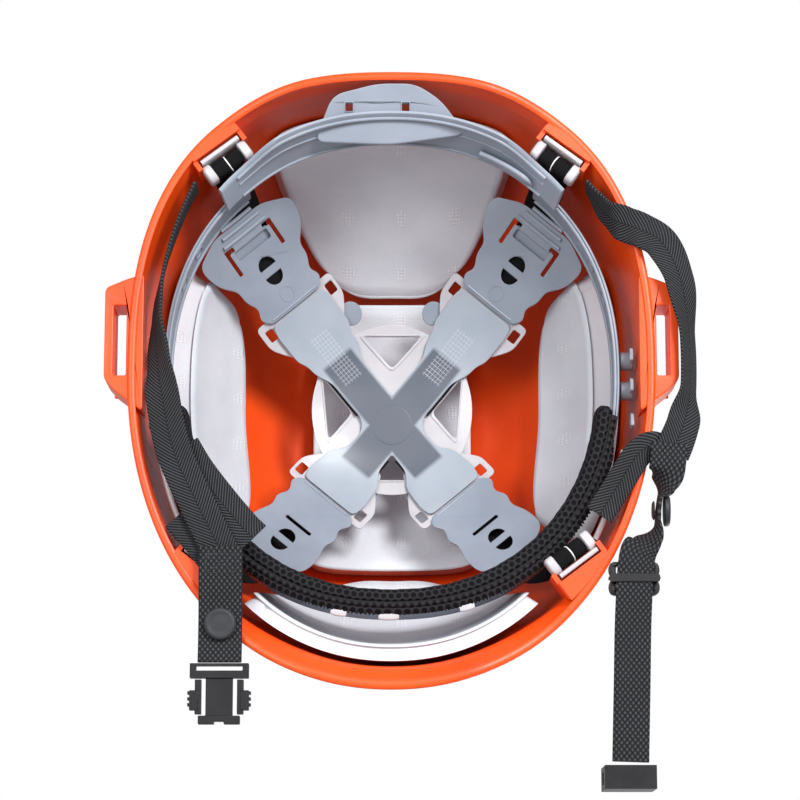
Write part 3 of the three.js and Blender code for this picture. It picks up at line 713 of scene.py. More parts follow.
def sheet_mesh(name, edge, holes, thick, bevel, cell):
    """A flat plate from outlines in mm, its edges rounded, cut into cells so that it can bend."""
    curve = bpy.data.curves.new(name, "CURVE")
    curve.dimensions = "2D"
    curve.fill_mode = "BOTH"
    curve.extrude = thick / 2
    for ring in [edge, *holes]:
        spline = curve.splines.new("POLY")
        spline.points.add(len(ring) - 1)
        spline.use_cyclic_u = True
        for place, (x, y) in zip(spline.points, ring):
            place.co = (x, y, 0, 1)
    holder = bpy.data.objects.new(name, curve)
    bpy.context.scene.collection.objects.link(holder)
    bpy.context.view_layer.update()
    mesh = bpy.data.meshes.new_from_object(holder)
    bpy.data.objects.remove(holder)
    work = bmesh.new()
    work.from_mesh(mesh)
    bmesh.ops.remove_doubles(work, verts=work.verts, dist=1e-3)
    bmesh.ops.recalc_face_normals(work, faces=work.faces)
    rims = [e for e in work.edges if e.is_manifold and abs(e.calc_face_angle()) > math.radians(60)
            and abs(e.verts[0].co.z - e.verts[1].co.z) < 1e-4]
    bmesh.ops.bevel(work, geom=rims, offset=bevel, segments=2, affect="EDGES", profile=0.5,
                    clamp_overlap=False)
    for axis in (0, 1):
        low = min(v.co[axis] for v in work.verts)
        high = max(v.co[axis] for v in work.verts)
        for step in range(1, int((high - low) / cell) + 1):
            at, normal = Vector(), Vector()
            at[axis], normal[axis] = low + step * cell, 1
            everything = work.verts[:] + work.edges[:] + work.faces[:]
            bmesh.ops.bisect_plane(work, geom=everything, plane_co=at, plane_no=normal)
    work.to_mesh(mesh)
    work.free()
    return mesh


def plate(name, edge, holes, thick, level, place, finish, body="helmet", node="", bevel=0.25, cell=4.0):
    """A plate whose mid-plane point (x, y, z above it) goes where place says, in metres."""
    mesh = sheet_mesh(name, edge, holes, thick, bevel, cell)
    for vertex in mesh.vertices:
        x, y, z = vertex.co
        vertex.co = place(x, y, z + level)
    mesh.update()
    piece = bpy.data.objects.new(name, mesh)
    settle(piece, finish, body, node, 40)
    piece.modifiers.new("even_shading", "WEIGHTED_NORMAL").keep_sharp = True


# ------------------------------------------------------------------ cradle


def fall(x, y):
    reach = math.hypot(x, y * FRONT_STEEPNESS if y < 0 else y)
    return ARM_DROP * max(0.0, reach - SEAT_RADIUS) ** 2


def draped(x, y, z):
    """A cradle point in metres, from its place in plan and its height over the seat in mm."""
    return Vector((x, y, z - fall(x, y))) * MM


ARMS = {
    "rear_left": (ARM_ANGLE, REAR_JOINT),
    "rear_right": (math.pi - ARM_ANGLE, REAR_JOINT),
    "front_right": (math.pi + ARM_ANGLE, FRONT_JOINT),
    "front_left": (-ARM_ANGLE, FRONT_JOINT),
}


def on_arm(arm, along, across):
    c, s = math.cos(ARMS[arm][0]), math.sin(ARMS[arm][0])
    return along * c - across * s, along * s + across * c


def arm_outline(arm, edge):
    right = [on_arm(arm, along, -half) for along, half in edge]
    left = [on_arm(arm, along, half) for along, half in reversed(edge)]
    return right + left


def arm_box(arm, low, high, left, right):
    corners = [(low, left), (high, left), (high, right), (low, right)]
    return [on_arm(arm, along, across) for along, across in corners]


def build_cross_plate():
    edge = []
    for arm, (_, joint) in ARMS.items():
        end = joint - ARM_GAP
        waist = [(end - 23, 9), (end - 17, 14)]
        if arm.startswith("rear"):
            waist = [(end - 34, 8.6), (end - 27, 12), (end - 22, 12.6), (end - 18, 14.8)]
        edge += arm_outline(arm, [(CROTCH, 8.5)] + waist + [(end - 5, 15.2), (end, 14)])
    plate("cross_sheet", filleted(edge, 3), [], PLATE_THICK, PLATE_LEVEL, draped, CROSS,
          node="cross_plate", cell=3.5)
    plate("crown_seat", ring_of(0, 0, 9, 40), [], 0.6, 0.45, draped, CROSS, bevel=0.2)
    for arm, side, end in (("rear_left", -1, 35), ("rear_right", 1, 35), ("front_left", -1, 24),
                           ("front_right", 1, 24)):
        rail("tape_edge", arm, [(13.5, 9.2 * side), (end, 9.2 * side)], 0.9, 0.7, TAPE_EDGE, 1.4)


def rail(name, arm, spine, width, proud, finish, level=0.3):
    """A low raised line on the cradle's underside, through two (along, across) points on an arm."""
    (a0, c0), (a1, c1) = spine
    steps = max(2, int(math.hypot(a1 - a0, c1 - c0) / 2))
    places = []
    for t in shares(steps):
        places.append(draped(*on_arm(arm, mix(a0, a1, t), mix(c0, c1, t)), level - proud / 2 + 0.1))
    stations = []
    for i, place in enumerate(places):
        stations.append(station(place, places[min(i + 1, steps)] - places[max(i - 1, 0)]))
    section = round_section(width, proud + 0.2, min(width, proud + 0.2) * 0.4, 2)
    sweep(name, stations, section, finish)


def scaled(corners, share):
    """A triangle's corners, drawn towards its middle or away from it."""
    middle = sum((Vector(corner) for corner in corners), Vector((0, 0))) / 3
    return [tuple(middle + (Vector(corner) - middle) * share) for corner in corners]


def build_ring_plate():
    windows = [
        [(-13, 40), (13, 40), (0, 26)],
        [(31, 21), (18, 6), (28.5, -6.5)],
        [(-31, 21), (-18, 6), (-28.5, -6.5)],
        [(-9, -25), (9, -25), (0, -13)],
    ]
    rounded = [filleted(window, 2.5) for window in windows]
    edge = [(RING_HALF[0] * math.cos(t), RING_SHIFT + RING_HALF[1] * math.sin(t)) for t in turns_of(72)]
    plate("ring_sheet", edge, rounded, RING_THICK, RING_LEVEL, draped, MILKY, node="ring_plate")
    for arm, (_, joint) in ARMS.items():
        edge = arm_outline(arm, [(joint - 24, 11), (joint - 17, 13), (joint - 12, 17.5), (joint - 7, 21),
                                 (joint + 3, 21)])
        tabs = [filleted(arm_box(arm, joint - 5, joint, low, low + 4), 0.8) for low in (-18.6, 15.6)]
        plate("ring_tongue_" + arm, filleted(edge, 2.5), tabs, RING_THICK, RING_LEVEL + 0.02, draped, MILKY)
    for x, y, radius in ((18.5, 50, 5), (-18.5, 50, 5), (11, -33, 4.5), (-11, -33, 4.5)):
        plate("arm_lobe", ring_of(x, y, radius, 32), [], 0.8, 4.6, draped, GREY, bevel=0.2)
    for window in windows:
        border, inner = filleted(scaled(window, 1.2), 3.2), filleted(scaled(window, 1.06), 2.7)
        plate("window_border", border, [inner], 0.7, 2.5, draped, MILKY, bevel=0.15)


LEG_EDGES = {
    "rear": [(0, 14), (4, 17), (8, 14.5), (13, 17.5), (18, 17.5), (24, 24), (33, 26), (38.5, 13)],
    "front": [(0, 14), (4, 17.5), (9, 14), (14, 17), (19, 15), (27, 18), (36, 17.5), (40, 10)],
}


def build_leg(arm):
    angle, joint = ARMS[arm]
    start = joint + ARM_GAP
    rear = arm.startswith("rear")

    def box(low, high, half, radius):
        return filleted(arm_box(arm, start + low, start + high, -half, half), radius)

    middle = 17 if rear else 29
    holes = []
    for shift, heading in ((1.6, angle), (-1.6, angle + math.pi)):
        x, y = on_arm(arm, start + middle + shift, 0)
        holes.append(half_disc(x, y, 4.2, heading))
    holes.append(box(26.8, 30.4, 9, 0.9) if rear else box(18.5, 20, 7, 0.6))
    for side in (-1, 1) if rear else ():
        hook = [(22, 12.8), (32.6, 12.8), (32.6, 8), (30.8, 8), (30.8, 11), (22, 11)]
        holes.append(filleted([on_arm(arm, start + a, c * side) for a, c in hook], 0.6))
    edge = [(start + along, half) for along, half in LEG_EDGES["rear" if rear else "front"]]
    plate("leg_sheet_" + arm, filleted(arm_outline(arm, edge), 4), holes, PLATE_THICK, PLATE_LEVEL, draped,
          GREY, node="leg_" + arm, cell=3.5)
    if rear:
        plate("leg_backing", box(25.5, 31.8, 10, 1), [], 0.8, 3.2, draped, GREY, bevel=0.15)
        x, y = on_arm(arm, start + 6, 0)
        plate("pip_ring", ring_of(x, y, 3.4, 32), [ring_of(x, y, 2.9, 32)], 0.5, 0.3, draped, GREY,
              bevel=0.12)
        for along in (33.6, 36.4, 39.2):
            reach = 12 - (along - 33) * 0.6
            rail("leg_rib", arm, [(start + along, -reach), (start + along, reach)], 1.7, 1.5, GREY)
    rail("leg_lip", arm, [(start + 1.2, -12.5), (start + 1.2, 12.5)], 0.8, 0.4, GREY)


def tape_marks(front, rear, level):
    marks = []
    for arm in (front, rear):
        anchor = frame_anchor(arm)
        reach, turn = math.hypot(anchor.x, anchor.y), math.atan2(anchor.y, anchor.x)
        path = []
        for along, above in ((24, level), (44, level), (64, level + 1)):
            path.append(draped(*on_arm(arm, along, 0), above))
        x, y = on_arm(arm, 88, 0)
        path.append(Vector((x, y, RIM_Z + 69)) * MM)
        for short, height in ((4.5, 54), (0, 36), (0, 23)):
            far = reach - short
            path.append(Vector((math.cos(turn) * far, math.sin(turn) * far, RIM_Z + height)) * MM)
        marks.append(path)
    return marks[0][::-1] + [Vector((0, 0, level)) * MM] + marks[1]


ANCHORS = {
    "rear_left": (70, 91), "rear_right": (-70, 91),
    "front_left": (74.5, -77.5), "front_right": (-74.5, -77.5),
}


def frame_anchor(arm):
    x, y = ANCHORS[arm]
    return Vector((x, y + RIM_Y, 0))


def build_tape(name, front, rear, level, node):
    stations = []
    points = tape_marks(front, rear, level)
    level_run = points[-1] - points[0]
    across = Vector((level_run.y, -level_run.x, 0)).normalized()
    for place, along, _ in curve_points(points, 8):
        side = Vector((along.y, -along.x, 0)) if math.hypot(along.x, along.y) > 0.35 else across
        side = (side - along * side.dot(along)).normalized()
        stations.append((place, side, side.cross(along)))
    sweep(name, stations, web_section(WEB, 1.0), TAPE, node=node, sharp=70)


def build_cradle():
    build_cross_plate()
    build_ring_plate()
    for arm in CORNERS:
        build_leg(arm)
    build_tape("crossing_tape_lower", "front_right", "rear_left", 5, "cradle_tape_lower")
    build_tape("crossing_tape_upper", "front_left", "rear_right", 7, "cradle_tape_upper")


# ------------------------------------------------------------------ foam liner


def pad(node, surface, thick):
    """A foam pad from surface(u, v, depth): a face, a back and rounded edges."""
    edge, corner, nu, nv = 2.2, 0.12, 44, 30
    wide = (surface(1, 0.5, 0) - surface(0, 0.5, 0)).length / MM
    tall = (surface(0.5, 1, 0) - surface(0.5, 0, 0)).length / MM
    turns = [math.pi / 8 * k for k in range(4, -1, -1)]
    rings = [(edge * (1 - math.sin(turn)), thick - edge * (1 - math.cos(turn))) for turn in turns] + [(0, 0)]
    rim = [(i, 0) for i in range(nu)] + [(nu, j) for j in range(nv)]
    rim += [(nu - i, nv) for i in range(nu)] + [(0, nv - j) for j in range(nv)]
    vertices, faces = [], []

    def add(i, j, by, depth):
        du, dv = 2 * i / nu - 1, 2 * j / nv - 1
        half = (1 - corner * abs(du) ** 6 * abs(dv) ** 6) / 2
        u, v = 0.5 + du * (1 - 2 * by / wide) * half, 0.5 + dv * (1 - 2 * by / tall) * half
        vertices.append(surface(u, v, depth))
        return len(vertices) - 1

    def sheet(known, by, depth):
        """Fills in a face of the pad round the points that are known, and gives all its points."""
        for i in range(nu + 1):
            for j in range(nv + 1):
                if (i, j) not in known:
                    known[i, j] = add(i, j, by, depth)
        for i in range(nu):
            for j in range(nv):
                faces.append((known[i, j], known[i + 1, j], known[i + 1, j + 1], known[i, j + 1]))
        return known

    face = sheet({}, edge, thick)
    last = [face[key] for key in rim]
    for by, depth in rings[1:]:
        ring = [add(i, j, by, depth) for i, j in rim]
        for i in range(len(ring)):
            j = (i + 1) % len(ring)
            faces.append((last[i], last[j], ring[j], ring[i]))
        last = ring
    sheet(dict(zip(rim, last)), 0, 0)
    make(node + "_foam", vertices, faces, FOAM, node=node, sharp=60)


def dome_pad(node, start, end, low, high, inset, thick, soften):
    def surface(u, v, depth):
        taper = 1 - soften * abs(2 * u - 1) ** 3
        height = mix(low, low + (high - low) * taper, v)
        deep = inset + depth
        return point(*bowl(math.radians(mix(start, end, u)), rise_at(height, deep), deep))

    pad(node, surface, thick)


def crown_pad():
    def surface(u, v, depth):
        y = mix(CROWN_PAD_FRONT, CROWN_PAD_REAR, v)
        half = mix(36, 45, smooth((-20 - y) / 40)) if y < 0 else mix(30, 36, smooth(1 - y / 60))
        x = mix(-half, half, u)
        deep = WALL + 3.2 + depth
        z = (SHELL_HEIGHT - deep) * (1 - dome_share(x, y, deep) ** DOME_POWER) ** (1 / DOME_POWER)
        return point(x, y, z)

    pad("eps_crown", surface, 13)


def build_foam():
    dome_pad("eps_rear", 62, 118, 36, 119.5, 6.2, 11, 0.1)
    dome_pad("eps_front", -128, -52, 14, 104, 13, 7, 0.62)
    dome_pad("eps_left", -33, 25, 57, 101, 6.2, 12, 0.25)
    dome_pad("eps_right", 155, 213, 57, 101, 6.2, 12, 0.25)
    crown_pad()


# ------------------------------------------------------------------ the shell's fittings


def wall_reach(x, y, direction, height, inset):
    """How far a level line from (x, y) goes before it meets the dome, in mm."""
    near, far = 0.0, 80.0
    lift = math.asin(min(1.0, (height / SHELL_HEIGHT) ** (DOME_POWER / 2)))
    for _ in range(24):
        middle = (near + far) / 2
        px, py = x + direction[0] * middle, y + direction[1] * middle
        angle = math.atan2(py / outline_length(py, inset), px / HALF_WIDTH)
        limit = math.cos(lift) ** (2 / DOME_POWER) - brim(angle) * smooth(height / BRIM_HEIGHT)
        inside = dome_share(px, py, inset) < limit
        near, far = (middle, far) if inside else (near, middle)
    return near


def facing(corner):
    """The level direction from an anchor to the wall."""
    x, y = ANCHORS[corner]
    return math.copysign(ANCHOR_OUT[0], x), math.copysign(ANCHOR_OUT[1], y)


def socket_block(name, corner, shifts, heights, inner, cells):
    """A block that fills the room from an anchor to the wall."""
    x, y = ANCHORS[corner]
    out = facing(corner)

    def place(u, v, back):
        shift, height = mix(*shifts, u), mix(*heights, v)
        bx, by = x - out[1] * shift, y + out[0] * shift
        reach = wall_reach(bx, by, out, height, WALL / 2) if back else inner
        return point(bx + out[0] * reach, by + out[1] * reach, height)

    grid(name, *cells, place, ORANGE, sharp=35)


def build_socket(corner):
    """The block in the wall that an anchor clip snaps into, with a ledge on each side."""
    socket_block("socket_" + corner, corner, (-12, 12), (8, 24.5), 7.0, (6, 6))
    for end in (-1, 1):
        socket_block("socket_ledge", corner, (end * 10.5, end * 12.5), (9.8, 26), 2.5, (2, 5))


def build_accessory_loop(side):
    """The slotted ear on the shell's side for ear defenders and visors."""
    edge = [(104, 41), (111, 39), (120.4, 35), (120.4, -4), (116, -9), (104, -18)]
    slot = box_of(113.9, 12.5, 2.7, 15)

    def standing(x, y, z):
        return point(side * x, y, z)

    plate("accessory_ear", filleted(edge, 2.2), [filleted(slot, 1.0)], 20.4, 19.6, standing, ORANGE,
          bevel=0.7, cell=WHOLE)
    for y in (31, -6.5):
        web = filleted(box_of(113.5, y, 4, 2.2), 0.6)
        plate("ear_web", web, [], 1.4, 29.4, standing, ORANGE, cell=WHOLE)


def wall_rib(turn, height):
    """A small raised oblong on the inner wall, in the window between two pads."""
    here = Vector(bowl(turn, rise_at(height, WALL), WALL))
    above = Vector(bowl(turn, rise_at(height + 3, WALL), WALL))
    beside = Vector(bowl(turn + 0.05, rise_at(height, WALL), WALL))
    up = (above - here).normalized()
    level = beside - here
    level = (level - up * level.dot(up)).normalized()
    inward = up.cross(level)
    if inward.dot(here) > 0:
        inward = -inward
    stations = []
    for t in shares(8):
        shift = 2 * t - 1
        swell = math.sqrt(max(0.02, 1 - shift ** 4))
        stations.append((point(*(here + level * shift * RIB_LENGTH / 2)), up * swell, inward * swell))
    sweep("wall_rib", stations, round_section(*RIB_SECTION), RIB)


def build_shell_fittings():
    for corner in CORNERS:
        build_socket(corner)
    for side in (1, -1):
        build_accessory_loop(side)
        for angle in (-16, -5, 6, 17):
            wall_rib(math.radians(angle if side > 0 else 180 - angle), RIB_HEIGHT)
        for y in (8, -5, -20):
            key_slot(side, y)


def key_slot(side, y):
    """A grey hexagonal eyelet on the wall that keys the headband."""
    edge = [(-3.6, 0), (-2.4, 3.6), (2.4, 3.6), (3.6, 0), (2.4, -3.6), (-2.4, -3.6)]
    hole = [(a * 0.5, b * 0.5) for a, b in edge]

    def upright(a, b, out):
        return point(side * (101.2 - out), y + a, 20.5 + b)

    plate("key_eyelet", filleted(edge, 0.5), [hole], 1.4, 0, upright, GREY, cell=WHOLE)


# ------------------------------------------------------------------ headband and nape strap


def band_place(degrees, inset, height, wide_x=0.0, wide_y=0.0):
    angle = math.radians(degrees)
    x = (BAND_X + wide_x - inset) * bulge(math.cos(angle), BAND_POWER)
    y = (BAND_Y + wide_y - inset) * bulge(math.sin(angle), BAND_POWER)
    return point(x, BAND_SHIFT + y, height)


def band_station(degrees, inset, height, lean=(0, 0), swell=1.0):
    """A sweep's station on a line round the headband."""
    place = band_place(degrees, inset, height, *lean)
    return station(place, band_place(degrees + 0.5, inset, height, *lean) - place, swell)


def band_inset(v, back, thick):
    """How far in a sheet's face stands, its two long edges rounded; v runs 0 to 1 across it."""
    rounded = 0.5 * (1 - math.sqrt(max(0.0, 1 - max(0.0, abs(2 * v - 1) - 0.9) ** 2 * 100)))
    return thick - rounded if back else rounded


def build_headband():
    def place(u, v, back):
        return band_place(mix(*BAND_SPAN, u), band_inset(v, back, BAND_THICK), mix(BAND_LOW, BAND_HIGH, v))

    grid("headband_ring", 180, 14, place, GREY, node="headband", sharp=50)
    for height in (BAND_LOW + 1.6, BAND_HIGH - 1.6):
        stations = [band_station(mix(129, 411, t), 1.9, height) for t in shares(120)]
        sweep("headband_bead", stations, circle_section(0.8, 10), GREY)
    for start in (151, 160, 171, 380, 389):
        oblong_on_band(start, start + 3.5, BAND_LOW + 7, BAND_LOW + 15)
    for y, out in ((8, 1), (-5, 1), (8, -1), (-5, -1)):
        side_eyelet(out, y)


def oblong_on_band(start, end, low, high):
    """A slot in the headband, shown by its raised rim."""
    places = []
    for turn in turns_of(20):
        degrees = mix(start, end, 0.5 + 0.5 * math.cos(turn))
        places.append(band_place(degrees, 1.7, mix(low, high, 0.5 + 0.5 * math.sin(turn))))
    stations = []
    for place, ahead in zip(places, places[1:] + places[:1]):
        along = (ahead - place).normalized()
        inward = -Vector((place.x, place.y, 0)).normalized()
        stations.append((place, along.cross(inward), inward))
    sweep("band_slot", stations, circle_section(0.4), GREY, closed=True)


def side_eyelet(side, y):
    """The short eyelet that keys the headband to the shell's side."""
    profile = [(2.0, 0.3), (2.3, 0.0), (3.7, 0.0), (4.0, 0.3), (4.0, 4.9), (3.7, 5.2), (2.3, 5.2), (2.0, 4.9)]
    centre = point(side * (BAND_X + 0.4), y, CLIP_HEIGHT)
    stations = []
    for turn in turns_of(24):
        stations.append((centre, Vector((0, math.cos(turn), math.sin(turn))), Vector((side, 0, 0))))
    name = f"side_clip_{'left' if side > 0 else 'right'}_{'rear' if y > 0 else 'front'}"
    sweep(name + "_ring", stations, profile, GREY, node=name, closed=True, sharp=40)


def nape_lean(v):
    return mix(1, -3, v), mix(6, -2, v)


def nape_place(u, v, inset):
    """A point of the nape strap: u runs along it and v up it, and its ends are cut away below."""
    low = NAPE_LOW + 9 * smooth((abs(2 * u - 1) - 0.55) / 0.3)
    return band_place(mix(*NAPE_SPAN, u), inset, mix(low, NAPE_HIGH, v), *nape_lean(v))


def build_nape():
    def place(u, v, back):
        return nape_place(u, v, band_inset(v, back, NAPE_THICK))

    grid("nape_strap_band", 110, 16, place, GREY, "nape", "nape_strap", sharp=50)
    for v, size in ((0.12, 0.9), (0.4, 0.55), (0.9, 0.7)):
        stations = []
        for t in shares(90):
            u = mix(0.06, 0.94, t)
            behind, here, ahead = (nape_place(u + shift, v, NAPE_THICK + 0.1) for shift in (-0.01, 0, 0.01))
            stations.append(station(here, ahead - behind))
        sweep("nape_rail", stations, circle_section(size, 10), GREY, "nape")
    build_nape_tab()
    for degrees in (101, 107, 113, 119):
        lug(degrees, 4.4, 2.6)
    for degrees in (61, 63.2, 65.4, 67.6, 69.8):
        lug(degrees, 1.1, 1.4)
    slider_end()


def lug(degrees, wide, tall):
    """A rounded lug on the outside of the nape strap's lower edge."""
    stations = []
    for t in shares(6):
        shift = (t - 0.5) * wide / NAPE_DEGREE
        swell = math.sqrt(max(0.05, 1 - (2 * t - 1) ** 4))
        stations.append(band_station(degrees + shift, 1.2 - tall / 2, 8.5, nape_lean(0.2), swell))
    sweep("nape_lug", stations, round_section(tall, 4.4, 1.0), GREY, "nape")


def build_nape_tab():
    """The pull tab: a leaf that continues the band outwards, with two small moulded windows."""
    edge = [(33, 99), (25, 117.5), (6, 122), (-10, 122), (-21, 115.5), (-32, 102), (0, 98)]

    def leaning(x, y, z):
        return point(x, y, 4 + (118 - y) * 0.42 + z)

    window_y = 112.7
    holes = [filleted(box_of(x, window_y, 1.6, 1.7), 0.5) for x in (-6, 18)]
    plate("nape_tab", filleted(edge, 5), holes, 1.8, 0, leaning, GREY, "nape", bevel=0.5, cell=5)
    for hole, x in zip(holes, (-6, 18)):
        border = filleted(box_of(x, window_y, 2.1, 2.2), 0.7)
        plate("tab_frame", border, [hole], 0.6, -1.0, leaning, GREY, "nape", bevel=0.15, cell=WHOLE)


def slider_end():
    """The rounded end of the size slider on the nape strap's right half."""
    stations = []
    for t in shares(15):
        swell = math.sqrt(max(0.05, 1 - max(0.0, (t - 0.8) / 0.2) ** 2))
        stations.append(band_station(mix(112, 128.5, t), 3.4, 18.5, nape_lean(0.7), swell))
    sweep("size_slider", stations, round_section(2.2, 8, 1.0), GREY, "nape")


# ------------------------------------------------------------------ sweatband


def pad_section(share):
    """The sweatband's section: (how far in from the headband, height), share runs 0 to 1 round it."""
    middle, half = (SWEAT_LOW + SWEAT_HIGH) / 2, (SWEAT_HIGH - SWEAT_LOW) / 2
    turn = 2 * math.pi * share
    across = math.copysign(abs(math.sin(turn)) ** 0.62, math.sin(turn))
    out = math.copysign(abs(math.cos(turn)) ** 0.8, math.cos(turn))
    inward = SWEAT_THICK / 2 * (1 - out if out < 0 else 1 - out * 0.96)
    return inward, middle + half * across


def build_sweatband():
    cells, sides = 240, 40
    vertices, runs = [], []
    length, last = 0.0, None
    for t in shares(cells):
        degrees = mix(*SWEAT_SPAN, t)
        tip = min(t, 1 - t) * 60
        swell = math.sqrt(max(0.02, 1 - max(0.0, 1 - tip) ** 2))
        centre = band_place(degrees, 6.0, (SWEAT_LOW + SWEAT_HIGH) / 2)
        length += (centre - last).length if last else 0.0
        last = centre
        ripple = 0.25 * math.sin(degrees * 0.9) + 0.2 * math.sin(degrees * 2.3 + 1)
        perimeter, before = 0.0, None
        for k in range(sides):
            inward, height = pad_section(k / sides)
            place = band_place(degrees, SWEAT_INSET + inward * (1 + 0.04 * ripple), height)
            place = centre + (place - centre) * swell
            perimeter += (place - before).length if before else 0.0
            before = place
            vertices.append(place)
            runs.append((length, perimeter, 0))
    piece = make("sweatband_pad", vertices, tube_faces(cells + 1, sides), MESH_CLOTH, node="sweatband",
                 runs=runs, sharp=80)
    sweat_flange()
    seam_roll()


def sweat_flange():
    """The ragged lower edge where the cloth's two layers are sewn together."""
    cells, rows = 420, 3

    def edge_row(u, v):
        """A row's depth and height, in mm: three straight rows and the ragged last one."""
        row, step = round(v * rows), round(u * cells)
        if row < rows:
            return ((3.2, 1.2), (0.6, 1.0), (-1.5, 1.4))[row]
        degrees = mix(*SEAM_SPAN, u)
        ragged = 0.5 * math.sin(degrees * 9.7) + 0.4 * math.sin(degrees * 23.1 + 2)
        ragged += 0.3 * math.sin(degrees * 41)
        fade = smooth(min(step, cells - step) / 30)
        return -3.4 * fade - ragged * 0.7 * fade, 2.2 + 0.3 * ragged

    def place(u, v, upper):
        depth, height = edge_row(u, v)
        return band_place(mix(*SEAM_SPAN, u), SWEAT_INSET + depth, SWEAT_LOW + height + 0.9 * upper)

    def run(u, v):
        return mix(*SEAM_SPAN, u) * 0.0017, edge_row(u, v)[0] * MM, 0

    grid("sweatband_flange", cells, rows, place, MESH_CLOTH, sharp=80, run=run)


def seam_roll():
    """The rolled seam along the pad's lower edge, and the small keys that hold the pad."""
    stations = [band_station(mix(*SEAM_SPAN, t), 2.6, SWEAT_LOW + 0.8) for t in shares(160)]
    sweep("sweatband_seam", stations, circle_section(0.9), MESH_CLOTH)
    for degrees in (253.5, 270.5, 281, 324):
        stations = []
        for t in shares(4):
            swell = 1.0 if 0 < t < 1 else 0.8
            at = degrees + (t - 0.5) * 3.6
            stations.append(band_station(at, -1.2, SWEAT_LOW + 3.4, swell=swell))
        sweep("band_key", stations, round_section(4.4, 2.6, 0.7, 2), MILKY)


# ------------------------------------------------------------------ anchors


def anchor_point(corner, out, along, up):
    x, y = ANCHORS[corner]
    nx, ny = facing(corner)
    return point(x + out * nx - along * ny, y + out * ny + along * nx, ANCHOR_HEIGHT + up)


def anchor_axes(corner):
    origin = anchor_point(corner, 0, 0, 0)
    out = (anchor_point(corner, 1, 0, 0) - origin).normalized()
    along = (anchor_point(corner, 0, 1, 0) - origin).normalized()
    return out, along, Vector((0, 0, 1))


def build_anchor(corner):
    out, along, up = anchor_axes(corner)
    for end in (-1, 1):
        stations = []
        for t, swell in ((7.1, 0.86), (7.5, 1.0), (10.0, 1.0), (10.7, 0.93), (11.1, 0.78)):
            stations.append((anchor_point(corner, -0.4, end * t, 0), out * swell, up * swell))
        sweep("anchor_post", stations, round_section(8.4, 9.2, 2.6, 4), MILKY, sharp=40)
    stations = [(anchor_point(corner, 5, t, 0), out, up) for t in (-9.6, -4, 4, 9.6)]
    sweep("anchor_plate_" + corner, stations, round_section(2, 12, 0.6, 2), MILKY,
          node="anchor_clip_" + corner)
    anchor_winding(corner, out, up)
    ring = []
    for turn in turns_of(28):
        reach = 3.55 + 0.12 * math.sin(3 * turn)
        rise = 0.2 + reach * math.sin(turn) * 1.04
        centre = anchor_point(corner, CLIP_BAR_DEPTH + reach * math.cos(turn), 0.35 * math.sin(turn), rise)
        ring.append((centre, out * math.cos(turn) + up * math.sin(turn), along))
    sweep("anchor_tie_" + corner, ring, circle_section(0.3), THREAD, closed=True)


def anchor_winding(corner, out, up):
    """The tape wound round the clip's bar, drawn in at its middle by the tie."""
    stations = []
    turns = 24
    for t in shares(84):
        width = mix(-6.9, 6.9, t)
        wound = 1 + 0.035 * math.cos(2 * math.pi * turns * t)
        waist = 1 - 0.1 * math.exp(-(width / 0.9) ** 2)
        end = math.sqrt(max(0.3, 1 - max(0.0, abs(2 * t - 1) * 12 - 11) ** 2))
        swell = wound * waist * end
        stations.append((anchor_point(corner, CLIP_BAR_DEPTH, width, 0.2), out * swell, up * swell))
    sweep("anchor_winding_" + corner, stations, round_section(7.4, 7.8, 3.3, 5), TAPE,
          node="anchor_loop_" + corner, sharp=60)


def build_hanger_bar(side):
    def place(turn):
        x, y = outline(turn, HANGER_INSET)
        return point(side * x, y, HANGER_HEIGHT)

    stations = []
    for t in shares(32):
        turn = math.radians(mix(*HANGER_SPAN, t))
        stations.append(station(place(turn), place(turn + 0.01) - place(turn)))
    name = "hanger_bar_" + ("left" if side > 0 else "right")
    sweep(name + "_rod", stations, round_section(2.4, 3.0, 1.0), MILKY, node=name)


# ------------------------------------------------------------------ chin strap


def stitches(name, path, body, closed=False):
    """A row of short thread stitches along path, a list of points in metres, on a surface facing down."""
    long, gap, thread = 1.7, 0.7, 0.28
    profile = ((-1, 0.35), (-0.6, 0.9), (0, 1.0), (0.6, 0.9), (1, 0.35))
    vertices, faces = [], []
    for start, end in zip(path, path[1:] + path[:1] if closed else path[1:]):
        run = end - start
        number = max(1, round(run.length / MM / (long + gap)))
        along = run.normalized()
        side = along.cross(Vector((0, 0, 1))).normalized()
        for k in range(number):
            at = start + run * ((k + 0.5) / number)
            faces += tube_faces(5, 6, base=len(vertices))
            for t, swell in profile:
                for turn in turns_of(6):
                    off = side * math.cos(turn) + Vector((0, 0, 1)) * math.sin(turn)
                    vertices.append(at + (along * t * long / 2 + off * thread * swell) * MM)
    make(name, vertices, faces, STITCH, body, sharp=60)


def stitch_box(name, x, y, z, width, length, body):
    """A box of stitches with a cross in it, flat under webbing at a height."""
    w, h = width / 2, length / 2
    box = [point(x + a, y + b, z) for a, b in ((-w, -h), (w, -h), (w, h), (-w, h))]
    stitches(name + "_box", box, body, closed=True)
    stitches(name + "_cross", [box[0], box[2]], body)
    stitches(name + "_cross", [box[1], box[3]], body)


